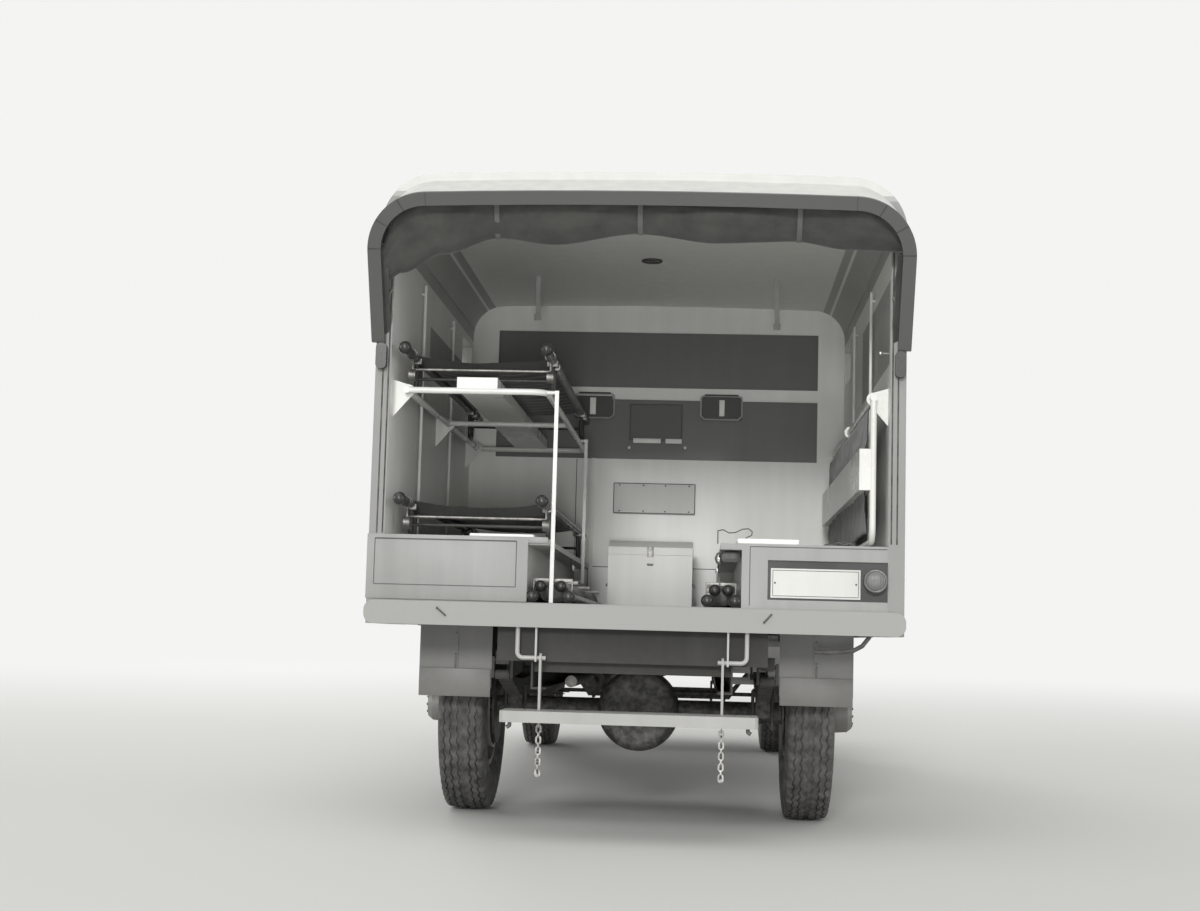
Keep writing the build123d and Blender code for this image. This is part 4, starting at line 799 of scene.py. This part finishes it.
# %% Stretcher handles
grips, fittings = [], []
for z in (UPPER_POLES, LOWER_POLES):
    for x in (POLE_NEAR, POLE_WALL):
        grips += [(bar, (x, -0.930, z), (x, -0.965, z), 0.019, 16, 0.026), (ball, (x, -0.970, z), 0.027)]
        grips += [(bar, (x, y - 0.01, z), (x, y + 0.01, z), 0.0225) for y in (-0.800, 1.27)]
        fittings += [(bar, (x, -0.78, z), (x, -0.76, z), 0.0225),
                     (board, (x - 0.004, -0.775, z - 0.085), (x + 0.004, -0.755, z), 0.002),
                     (bar, (x - 0.014, -0.765, z - 0.085), (x + 0.014, -0.765, z - 0.085), 0.026)]
        fittings += [(board, (x - 0.024, y, z - 0.026), (x + 0.024, y + 0.030, z))
                     for middle in (-0.62, 1.08) for y in (middle - 0.070, middle + 0.040)]
    fittings.append((bar, (POLE_WALL, -0.765, z - 0.06), (POLE_NEAR, -0.765, z - 0.06), 0.006))
build("stretcher_handles", lamp_moulding, grips)
build("stretcher_fittings", chain_iron, fittings)
print("shapes in the handles and fittings:", len(grips) + len(fittings))

# %% [markdown]
# The folded stretchers on the deck are poles with canvas rolled between them. The roll is a lofted
# sack: rings of a lumpy oval, tied in at the buckled straps, so it is never a straight box.

# %% Folded stretchers
FLOOR_Z = 0.920
POLE_Z = 0.946
ROLL_TIES = (-0.5, 0.25, 1.0)


def canvas_roll(bm, low, high):
    rings, around = 96, 40
    verts = bmesh.ops.create_cone(bm, cap_ends=False, segments=around, radius1=1, radius2=1, depth=2)["verts"]
    rims = [e for e in edges_of(verts) if abs(e.verts[0].co.z - e.verts[1].co.z) > 1]
    bmesh.ops.subdivide_edges(bm, edges=rims, cuts=rings, use_grid_fill=False)
    centre = [(a + b) / 2 for a, b in zip(low, high)]
    half = [(b - a) / 2 for a, b in zip(low, high)]
    for vert in bm.verts:
        # a tag marks the points of a roll that is done
        if vert.tag:
            continue
        c = vert.co.copy()
        y = centre[1] + c.z * half[1]
        tie = min(abs(y - t) for t in ROLL_TIES)
        pinch = 1 - 0.14 * max(0.0, 1 - tie / 0.07)
        end = min(1.0, (1 - abs(c.z)) / 0.05 + 0.55)
        lump = 1 + 0.10 * ripple(c.x * 1.4 + low[0], c.y * 1.4, y * 5)
        lump += 0.04 * ripple(c.x * 3 + low[0], c.y * 3, y * 16)
        square = 1 / max(abs(c.x), abs(c.y)) ** 0.45
        reach = min(1.0, pinch * end * lump * square / 1.12)
        vert.co = (centre[0] + c.x * half[0] * reach, y, centre[2] + c.y * half[2] * reach)
        vert.tag = True
    bmesh.ops.holes_fill(bm, edges=[e for e in bm.edges if e.is_boundary], sides=around)


rolls = build("folded_stretcher_rolls", rolled_cloth, [
    (canvas_roll, (-0.405, -0.74, FLOOR_Z + 0.001), (-0.270, 1.27, FLOOR_Z + 0.100)),
    (canvas_roll, (0.306, -0.74, FLOOR_Z + 0.001), (0.406, 1.27, FLOOR_Z + 0.100))])
rows = []
for x in (-0.412, -0.262, 0.300, 0.412):
    rows += [(bar, (x, -0.89, POLE_Z), (x, 1.47, POLE_Z), POLE_RADIUS),
             (bar, (x, -0.890, POLE_Z), (x, -0.925, POLE_Z), 0.019, 16, 0.026),
             (ball, (x, -0.930, POLE_Z), 0.0255)]
for x in (-0.385, -0.300, 0.330, 0.385):
    rows += [(bar, (x, -0.86, 0.990), (x, -0.70, 0.990), 0.016), (ball, (x, -0.865, 0.990), 0.024)]
build("folded_stretcher_poles", lamp_moulding, rows)
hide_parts("stretchers_folded")
rows = []
for x0, x1 in ((-0.42, -0.255), (0.292, 0.42)):
    rows += [(board, (x0, y - 0.012, FLOOR_Z + 0.088), (x1, y + 0.012, FLOOR_Z + 0.104), 0.002)
             for y in (-0.80, *ROLL_TIES)]
    rows += [(board, (x, -0.815, FLOOR_Z + 0.03), (x + 0.006, -0.785, FLOOR_Z + 0.10), 0.002)
             for x in (x0, x1 - 0.006)]
build("folded_stretcher_clips", chain_iron, rows)
print("rolls:", len(rolls.data.polygons), "faces")

# %% [markdown]
# Round the tail are the small things that make it a working truck: rubber seals down both posts, hooks
# and pegs for the curtain, the ribbed tail-lamp glass in its ring, and the border of the blank plate.

# %% Tail fittings
SILL_FACE = -0.969
rows = []
for a, b in (((-0.793, SILL_FACE, 0.888), (-0.758, SILL_FACE, 0.859)),
             ((0.530, SILL_FACE, 0.864), (0.559, SILL_FACE, 0.896))):
    rows += [(pipe, [a, b, (b[0], -0.963, b[2])], 0.0035, 8), (ball, a, 0.005, 8)]
build("sill_hooks", trim_paint_and_gap_shade, rows)
seals = build("post_seals", tyre_rubber, both(
    *[(bar, (x, -0.9405, 1.19), (x, -0.9405, top), 0.003, 8) for x, top in ((1.035, 2.40), (1.058, 1.965))]))
pegs = build("curtain_pegs", bright_steel, both(
    (bar, (1.022, -0.925, 1.970), (0.988, -0.930, 1.970), 0.0035, 8), (ball, (0.985, -0.930, 1.970), 0.010),
    (pipe, [(1.040, -0.941, 2.20), (1.040, -0.952, 2.185), (1.030, -0.956, 2.200)], 0.004, 8)))
build("tail_lamp_lens", tail_glass, [(dome, (0.973, -0.960, 1.040), (0.040, 0.013, 0.040))])
build("tail_lamp_ring", chain_iron, [(ring, (0.973, -0.961, 1.040), (0, 1, 0), 0.0425, 0.0045)])
build("plate_border_and_screws", trim_paint_and_gap_shade, [
    (pipe, outline(0.563, 0.907, 0.973, 1.076, -0.9292), 0.0012, 6),
    *[(stud, (x, -0.929, 1.025), (0, -1, 0), 0.0045, 0.002, 10) for x in (0.572, 0.898)]])
print("tail fittings:", len(seals.data.polygons) + len(pegs.data.polygons), "faces")

# %% [markdown]
# The two lockers are panelled: a pressed groove runs round each rear face, and a white scrubbed board
# lies on top of each. A latch plate and the gaps round two doors show on the gangway side.

# %% Lockers
GANGWAY_FACE = 0.3497
build("left_locker_end_panel", locker_paint_and_recess_shade, [
    (board, (-1.094, -0.9458, 0.922), (-0.432, -0.9404, 1.186), 0.0015),
    (board, (-0.434, -0.9458, 1.162), (-0.351, -0.9404, 1.186), 0.0015)])
# the groove round the rear face and the door gaps are thin dark lines: painted shade in them
build("locker_groove_and_gap_shade", trim_paint_and_gap_shade, [
    (pipe, outline(-1.062, -0.479, 0.981, 1.168, -0.9460), 0.0016, 6),
    (bar, (-1.062, -0.9462, 1.1675), (-0.479, -0.9462, 1.1675), 0.0026, 6),
    (bar, (0.470, -0.9353, 0.93), (0.470, -0.9353, 1.169), 0.0016, 6),
    (bar, (0.470, -0.9353, 1.169), (1.020, -0.9353, 1.169), 0.0016, 6),
    *both(*[(bar, (GANGWAY_FACE, y, 0.945), (GANGWAY_FACE, y, 1.155), 0.0018, 6)
            for y in (-0.86, 0.29, 1.44)],
          *[(bar, (GANGWAY_FACE, -0.86, z), (GANGWAY_FACE, 1.44, z), 0.0018, 6) for z in (0.945, 1.155)])])
build("locker_top_boards", bright_enamel, [
    (board, (-0.680, -0.905, 1.181), (-0.414, 1.45, 1.199), 0.006, 3),
    (board, (0.418, -0.905, 1.181), (0.669, 1.45, 1.203), 0.006, 3)])
rows = []
for y in (-0.80, 0.35):
    rows += [(board, (0.3415, y - 0.022, 1.100), (0.3495, y + 0.022, 1.128), 0.002),
             (stud, (0.3415, y, 1.114), (-1, 0, 0), 0.007, 0.006, 12)]
build("locker_latches", bright_steel, both(*rows))
print("locker boards: 2")

# %% [markdown]
# The front wall of the bay carries two hand lamps with pale rims and a light bar, a hatch with a white
# stop each side, a riveted panel, and the ventilator in the middle of the ceiling.

# %% Front wall and ceiling
LAMP_Y = 1.500
GAP_Y = 1.5095
rims, lights, darks = [], [], []
# each hand lamp: left, right, foot and top, then the two sides of its bar
for x0, x1, z0, z1, bar_x0, bar_x1 in ((-0.447, -0.233, 1.988, 2.121, -0.365, -0.333),
                                       (0.244, 0.469, 1.990, 2.119, 0.345, 0.374)):
    corners = [(x0 + 0.02, z0), (x1 - 0.02, z0), (x1, z0 + 0.02), (x1, z1 - 0.012), (x1 - 0.012, z1),
               (x0 + 0.012, z1), (x0, z1 - 0.012), (x0, z0 + 0.02), (x0 + 0.02, z0)]
    rims.append((pipe, [(x, LAMP_Y, z) for x, z in corners], 0.0042, 8))
    lights.append((board, (bar_x0, 1.488, z0 + 0.018), (bar_x1, 1.501, z1 - 0.022)))
    darks.append((bar, (x0 + 0.02, LAMP_Y, z1 + 0.004), (x1 - 0.02, LAMP_Y, z1 + 0.004), 0.006, 10))
lights += [(board, (x0, 1.498, 1.853), (x1, 1.5035, 1.878), 0.001)
           for x0, x1 in ((-0.123, 0.028), (0.054, 0.143))]
lights += [(ball, (x, 1.508, z), 0.0095) for x, z in ((-0.145, 1.827), (0.162, 1.832))]
for x0, x1, z0, z1, y in ((-0.2215, 0.2215, 1.467, 1.6295, 1.4955), (-0.1415, 0.1415, 1.872, 2.067, 1.5035)):
    darks += [(bar, (x0, y, z), (x1, y, z), 0.0022, 6) for z in (z0, z1)]
    darks += [(bar, (x, y, z0), (x, y, z1), 0.0022, 6) for x in (x0, x1)]
darks += [(bar, (-0.43, GAP_Y, 0.93), (-0.43, GAP_Y, 1.76), 0.002, 6),
          (bar, (-0.43, GAP_Y, 1.170), (0.35, GAP_Y, 1.170), 0.002, 6),
          (ring, (0, 0.325, 2.6135), (0, 0, 1), 0.046, 0.006)]
darks += [(ring, (0, 0.325, 2.611), (0, 0, 1), 0.012 + 0.011 * k, 0.002, 24, 6) for k in range(3)]
darks += [(stud, (x, 1.4958, z), (0, -1, 0), 0.005, 0.002, 8) for x in (-0.19, -0.06, 0.06, 0.19)
          for z in (1.478, 1.619)]
hand_lamps = build("hand_lamp_rims", webbing, rims)
build("hand_lamp_bars_and_stops", bright_enamel, lights)
build("front_wall_gaps_and_ventilator", trim_paint_and_gap_shade, darks)
print("hand lamps:", len(hand_lamps.data.polygons), "faces")

# %% [markdown]
# The chest has a hasp over its lid and a drop handle at each end. The lid opens, so the hasp rides on it.

# %% Chest
build("chest_hasp", chain_iron, [
    (board, (-0.016, 1.083, 1.165), (0.016, 1.089, 1.262), 0.002),
    (stud, (0, 1.083, 1.245), (0, -1, 0), 0.006, 0.004, 10)], "chest_lid")
drop = [(0.2205, 1.20, 1.075), (0.232, 1.20, 1.060), (0.232, 1.28, 1.060), (0.2205, 1.28, 1.075)]
build("chest_handles", chain_iron, both((pipe, drop, 0.005, 10)))
print("chest ready")

# %% [markdown]
# The right-hand rack is folded up against its wall. Its canvas hangs crumpled between the tube and the
# plank, from just under the brackets, and its dark cloth also stands for painted shade on the wall behind.
# It rides on the rack, so it folds down with it.

# %% Folded rack canvas
RACK_LENGTH = 2.2
bm = bmesh.new()
bmesh.ops.create_grid(bm, x_segments=90, y_segments=40, size=1)
for vert in bm.verts:
    t = (vert.co.y + 1) / 2
    y = 0.25 + vert.co.x * RACK_LENGTH / 2
    z = 1.235 + t * 0.512
    belly = sin(pi * t)
    wrinkle = 0.010 * ripple(y * 3.5, z * 9, 0.7) + 0.006 * ripple(y * 11, z * 20, 2.2)
    z += 0.012 * ripple(y * 4, 0.3, 1.0) * (1 - t)
    vert.co = (0.946 - 0.010 * belly + wrinkle * (0.4 + belly), y, z)
rack_sheet_and_shade = set_piece(bm, "folded_rack_canvas_and_shade", stretcher_cloth_and_rack_shade, "rack_right", recalc=False)
slack_area = cloth_area(rack_sheet_and_shade)

# %% [markdown]
# Beside the gangway a soft bag is pushed in under the right locker's top, folded in three, with its loops
# over the edge. Each fold starts as a cube, cut into a fine net, rounded off, and pushed about by noise.
# Three strap ends lie on the locker beside the folded rack.

# %% Kit bag


def net_cube(bm, low, high, cuts):
    # a cube cut into a fine net: its own new points, and the middle and half sizes that it will fill
    before = set(bm.verts)
    made = bmesh.ops.create_cube(bm, size=2)["verts"]
    bmesh.ops.subdivide_edges(bm, edges=edges_of(made), cuts=cuts, use_grid_fill=True)
    pairs = list(zip(low, high))
    return set(bm.verts) - before, [(a + b) / 2 for a, b in pairs], [(b - a) / 2 for a, b in pairs]


def rounding(c, power):
    # how far a point of the cube is drawn in, so that its corners become round
    return max(abs(v) for v in c) / sum(abs(v) ** power for v in c) ** (1 / power)


def soft_bag(bm, low, high, seed):
    verts, centre, half = net_cube(bm, low, high, 17)
    for vert in verts:
        c = vert.co
        lump = 1 - 0.10 * (0.5 + 0.5 * ripple(c.x * 1.3 + seed, c.y * 1.3, c.z * 1.3)) - 0.03 * (
            0.5 + 0.5 * ripple(c.x * 4, c.y * 4 + seed, c.z * 4))
        reach = rounding(c, 5)
        vert.co = [m + h * v * reach * lump for m, h, v in zip(centre, half, c)]


bag = build("kit_bag", rolled_cloth, [
    (soft_bag, (0.3535, -0.90, 1.040), (0.4305, -0.62, 1.076), 2.0),
    (soft_bag, (0.3520, -0.91, 1.076), (0.4305, -0.61, 1.112), 5.0),
    (soft_bag, (0.3545, -0.90, 1.112), (0.4305, -0.62, 1.150), 8.0)])
strap_line = [(0.339, 1.184), (0.339, 1.238), (0.360, 1.243), (0.385, 1.230), (0.410, 1.232), (0.440, 1.247),
              (0.465, 1.249), (0.480, 1.238), (0.478, 1.222), (0.462, 1.215), (0.440, 1.200)]
loop_line = [(0.353, 1.146), (0.338, 1.138), (0.331, 1.120), (0.337, 1.102), (0.353, 1.098)]
build("kit_bag_loops", tyre_rubber, [
    (pipe, [(x, -0.80, z) for x, z in strap_line], 0.0021, 8),
    (pipe, [(x, -0.895, z) for x, z in loop_line], 0.0042, 10)])
rows = []
for x, y, rise, wave in ((0.770, -0.84, 0.010, 0.0), (0.800, -0.76, 0.018, 1.6), (0.790, -0.70, 0.012, 3.0)):
    line = []
    for s in (k / 14 for k in range(15)):
        z = 1.185 + rise * sin(pi * s) + 0.004 * sin(17 * s + wave)
        line.append((x + 0.130 * s, y + 0.020 * sin(6 * s + wave), z))
    rows.append((ribbon, line, 0.026, (0.1, 1, 0.3 * sin(wave + 1)), 0.003))
build("loose_strap_ends", curtain_canvas_and_rim_shade, rows)
print("bag:", len(bag.data.polygons), "faces")

# %% [markdown]
# Under the tail: rivets and a hinge strap on each rubber flap, bolts on the step's arms, and a bent tube
# that carries the wiring past the right-hand flap.

# %% Under the tail
build("flap_straps", trim_paint_and_gap_shade, both(
    (board, (0.620, -0.588, 0.842), (0.910, -0.583, 0.866), 0.002),
    *[(stud, (x, -0.588, 0.854), (0, -1, 0), 0.006, 0.004, 10) for x in (0.640, 0.700, 0.765, 0.830, 0.890)],
    *[(stud, (0.765, -0.583, z), (0, -1, 0), 0.005, 0.003, 10) for z in (0.62, 0.70, 0.79)],
    (board, (0.761, -0.5855, 0.640), (0.769, -0.5825, 0.690), 0.001)))
build("rubber_flap_ends", flap_paint, both(
    (board, (0.612, -0.5885, 0.522), (0.918, -0.5830, 0.640), 0.002)))
build("step_bolts", trim_paint_and_gap_shade, both(
    (pipe, [(0.470, -1.08, 0.446), (0.470, -1.08, 0.432), (0.482, -1.08, 0.424)], 0.008, 10),
    *[(stud, (x, -1.00, 0.4895), (0, 0, 1), 0.006, 0.003, 10) for x in (0.300, 0.420)]), "step")
build("wiring_tube", tyre_rubber, [
    (pipe, [(0.973, -0.915, 0.900), (0.952, -0.920, 0.814), (0.925, -0.925, 0.780), (0.890, -0.928, 0.761),
            (0.800, -0.930, 0.750), (0.740, -0.900, 0.752)], 0.009, 14)])
print("flap rivets:", 2 * 8)

# %% [markdown]
# Each wheel is held by eight nuts on a raised ring. The rear hubs stand out past the wheels and end in a
# bolted cap, and the front hubs end in a pressed grease cap. All of it turns with its wheel.

# %% Hub nuts
NUTS, NUT_CIRCLE = 8, 0.100
# how far out from the middle of the truck the nuts stand
NUT_X = 0.827


def bolt_circle(hub, x, radius, count, phase=0.0):
    angles = [2 * pi * k / count + phase for k in range(count)]
    return [hub + Vector((x, radius * cos(a), radius * sin(a))) for a in angles]


for corner, side, centre, body in wheels:
    hub, way = Vector((0, centre.y, centre.z)), (side, 0, 0)
    rows = []
    for at in bolt_circle(hub, side * NUT_X, NUT_CIRCLE, NUTS, 0.2):
        rows += [(stud, at, way, 0.0125, 0.014), (bar, at, at + Vector((side * 0.021, 0, 0)), 0.006, 10)]
    end_x, radius, count = (0.960, 0.046, 8) if corner.startswith("rear") else (0.865, 0.030, 5)
    rows += [(stud, at, way, 0.006, 0.006) for at in bolt_circle(hub, side * end_x, radius, count)]
    rows.append((ring, hub + Vector((side * 0.828, 0, 0)), (1, 0, 0), 0.118, 0.003, 48))
    build("hub_nuts_" + corner, axle_iron, rows, body, level_frame=False)
print("nuts:", NUTS * len(wheels))

# %% [markdown]
# Four U-bolts clamp each leaf spring to its axle, and two steel straps hold the fuel tank. Its filler
# stands up through the side behind the cab.

# %% Spring bolts and tank straps
rows = []
for x, axle_y, foot, top, half in ((0.560, 0.0, 0.405, 0.560, 0.036), (0.380, 3.403, 0.410, 0.520, 0.034)):
    x0, x1 = x - half - 0.008, x + half + 0.008
    for y in (axle_y - 0.045, axle_y + 0.045):
        rows.append((pipe, [(x0, y, foot), (x0, y, top), (x1, y, top), (x1, y, foot)], 0.007, 10))
        rows += [(stud, (end_x, y, foot), (0, 0, -1), 0.011, 0.012) for end_x in (x0, x1)]
rows = both(*rows)
for y in (0.86, 1.18):
    rows += [(board, (-0.864, y - 0.022, 0.505), (-0.8605, y + 0.022, 0.755), 0.0015),
             (board, (-0.860, y - 0.022, 0.4955), (-0.410, y + 0.022, 0.4995), 0.0015)]
build("spring_bolts_and_tank_straps", chassis_paint, rows)
build("tank_filler", axle_iron, [
    (bar, (-0.861, 1.02, 0.700), (-0.885, 1.02, 0.712), 0.032, 28),
    (bar, (-0.884, 1.02, 0.712), (-0.900, 1.02, 0.720), 0.040, 28, 0.036)])
print("U-bolts:", 8)

# %% [markdown]
# The body sides are flat sheets joined by cover strips with rivets. Strips run up the joints, a rub rail
# bolt shows every half metre, and a rain strip keeps water off each slot.

# %% Body strips
SIDE_X, STRIP_X = 1.0905, 1.0945
rows = []
for y in (-0.10, 0.72, 1.52):
    rows.append((board, (SIDE_X, y - 0.020, 0.935), (STRIP_X, y + 0.020, 2.455), 0.0015))
    rows += [(stud, (STRIP_X, y, 0.98 + k * 0.12), (1, 0, 0), 0.0055, 0.003, 8) for k in range(13)]
rows.append((board, (SIDE_X, 1.06, 2.385), (1.112, 1.48, 2.391), 0.002))
rows += [(stud, (1.0985, -0.80 + k * 0.5, 1.500), (1, 0, 0), 0.007, 0.004, 8) for k in range(5)]
build("body_cover_strips", service_paint, both(*rows))
build("roof_seams", wall_paint_light_and_shade, [
    (ribbon, [(x / 5, y, 2.7150 - x * x / 1500) for x in range(-4, 5)], 0.045, (0, 1, 0), 0.003)
    for y in (-0.30, 0.35, 1.00)])
print("strips: 6 upright, 3 over the roof")

# %% [markdown]
# The front isn't in the photograph, so it is finished in the same plain manner: ribbed headlamp glasses
# in steel rings, louvres in the bonnet sides, wipers, rubber round the panes, and round mirrors.

# %% Headlamps and front
HEADLAMP_X, HEADLAMP_Z = 0.560, 1.240
LOUVRES = 9
build("headlamp_glasses", lens_glass, [
    (dome, (side * HEADLAMP_X, 3.762, HEADLAMP_Z), (0.098, 0.020, 0.098)) for side in (-1, 1)])
build("headlamp_rings", bright_steel, both(
    (ring, (HEADLAMP_X, 3.768, HEADLAMP_Z), (0, 1, 0), 0.103, 0.008, 56, 10),
    *[(stud, (x, 4.0995, 0.700), (0, 1, 0), 0.014, 0.008) for x in (0.820, 0.700, 0.330)]))
for side, hand in ((-1, "left"), (1, "right")):
    rows = []
    for y in (2.93 + k * 0.075 for k in range(LOUVRES)):
        # the bonnet narrows towards the nose
        x = side * (0.4265 - (y - 2.806) * 0.1238 - 0.004)
        rows += [(bar, (x, y, 1.255), (x, y, 1.385), 0.009, 12), (ball, (x, y, 1.255), 0.009, 12),
                 (ball, (x, y, 1.385), 0.009, 12)]
    build("bonnet_louvres_" + hand, service_paint, rows, "bonnet_" + hand)
build("mirrors_and_wipers", lamp_moulding, both(
    (pipe, [(0.860, 2.62, 1.660), (0.930, 2.62, 1.690), (0.955, 2.62, 1.780)], 0.006, 10),
    (bar, (0.955, 2.612, 1.840), (0.955, 2.624, 1.840), 0.058, 32, 0.050),
    (pipe, [(0.400, 2.585, 2.110), (0.400, 2.600, 2.095), (0.350, 2.622, 1.850)], 0.005, 8),
    (board, (0.340, 2.615, 1.72), (0.360, 2.635, 1.97))))
for side, hand in ((-1, "left"), (1, "right")):
    rim = [(1.715, 1.580), (2.330, 1.580), (2.330, 1.985), (1.715, 1.985), (1.715, 1.580)]
    build("door_window_seal_" + hand, tyre_rubber,
          [(pipe, [(side * 0.8645, y, z) for y, z in rim], 0.006, 8)], "door_" + hand)
rows = []
for x0, x1 in ((-0.770, -0.035), (0.035, 0.770)):
    foot, top = (2.640, 1.610), (2.569, 2.080)
    rows.append((pipe, [(x0, *foot), (x1, *foot), (x1, *top), (x0, *top), (x0, *foot)], 0.007, 8))
build("windscreen_seals", tyre_rubber, rows)
print("louvres:", 2 * LOUVRES)

# %% [markdown]
# The cab seats are stitched leathercloth over horsehair: crowned in the middle, pulled in between the
# corners, with sewn channels across. Each starts as a finely cut cube and is shaped point by point.

# %% Cab seats
CHANNELS = 5


def seat_pad(bm, low, high, crown_axis, seed):
    verts, centre, half = net_cube(bm, low, high, 39)
    flat = [axis for axis in range(3) if axis != crown_axis]
    for vert in verts:
        c = vert.co.copy()
        reach = rounding(c, 7)
        crown = (1 - c[flat[0]] ** 4) * (1 - c[flat[1]] ** 4)
        seam = abs(((c[0] + 1) / 2 * CHANNELS) % 1.0 - 0.5) * 2
        groove = max(0.0, seam - 0.82) / 0.18 if abs(c[0]) < 0.93 else 0.0
        raised = c[crown_axis] * (0.80 + 0.20 * crown - 0.10 * groove * crown)
        wave = 0.02 * ripple(c.x * 2 + seed, c.y * 2, c.z * 2)
        shape = [v * reach for v in c]
        shape[crown_axis] = raised * (reach if abs(c[crown_axis]) < 0.999 else 1.0) * (1 - abs(wave))
        for axis, other in (flat, flat[::-1]):
            # edges draw in between the corners
            shape[axis] *= 0.975 + 0.025 * c[other] ** 2
        vert.co = [m + h * v for m, h, v in zip(centre, half, shape)]


for side, hand in ((-1, "left"), (1, "right")):
    x0, x1 = sorted((side * 0.155, side * 0.685))
    for part, low, high, axis in (("cushion", (x0, 1.680, 1.080), (x1, 2.085, 1.190), 2),
                                  ("back", (x0, 1.562, 1.112), (x1, 1.670, 1.640), 1)):
        pad = build(f"seat_{part}_{hand}", seat_hide, [(seat_pad, low, high, axis, side)])
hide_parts("cab_seats")
build("seat_piping", lamp_moulding, both(
    *[(pipe, [(0.180, 2.076, z), (0.660, 2.076, z)], 0.004, 8) for z in (1.098, 1.172)]))

# %% [markdown]
# The studio: one pale floor plane and a white background that only the camera and reflections see. Far out
# the floor fades into the same white.

# %% Floor and background
WHITE = "#F4F4F3"
floor_material, where = new_material("pale_studio_floor")
floor_shader = add(floor_material, "BsdfPrincipled", {"Base Color": "#C4C4C1", "Roughness": 0.9})
floor_white = add(floor_material, "Emission", {"Color": WHITE, "Strength": 1.0})
far = add(floor_material, "VectorMath", {0: where}, operation="LENGTH").outputs["Value"]
fade = add(floor_material, "MapRange", {"From Min": 3.2, "From Max": 15.0, "Value": far},
           interpolation_type="SMOOTHSTEP")
seen = add(floor_material, "LightPath").outputs["Is Camera Ray"]
share = add(floor_material, "Math", {0: fade, 1: seen}, operation="MULTIPLY")
floor_mix = add(floor_material, "MixShader", {0: share, 1: floor_shader, 2: floor_white})
add(floor_material, "OutputMaterial", {"Surface": floor_mix})
bm = bmesh.new()
bmesh.ops.create_grid(bm, x_segments=1, y_segments=1, size=60)
floor_mesh = bpy.data.meshes.new("floor")
bm.to_mesh(floor_mesh)
bm.free()
floor = bpy.data.objects.new("floor", floor_mesh)
floor_mesh.materials.append(floor_material)
scene.collection.objects.link(floor)

world = bpy.data.worlds.new("sky")
world.use_nodes = True
world.node_tree.nodes.clear()
rays = add(world, "LightPath").outputs
seen = rays["Is Camera Ray"]
for kind in ("Is Glossy Ray", "Is Transmission Ray"):
    seen = add(world, "Math", {0: seen, 1: rays[kind]}, operation="MAXIMUM")
soft = add(world, "Background", {0: "#F4F4F2", 1: 0.62})
white = add(world, "Background", {0: WHITE, 1: 1.0})
add(world, "OutputWorld", {0: add(world, "MixShader", {0: seen, 1: soft, 2: white})})
scene.world = world
print("studio ready")
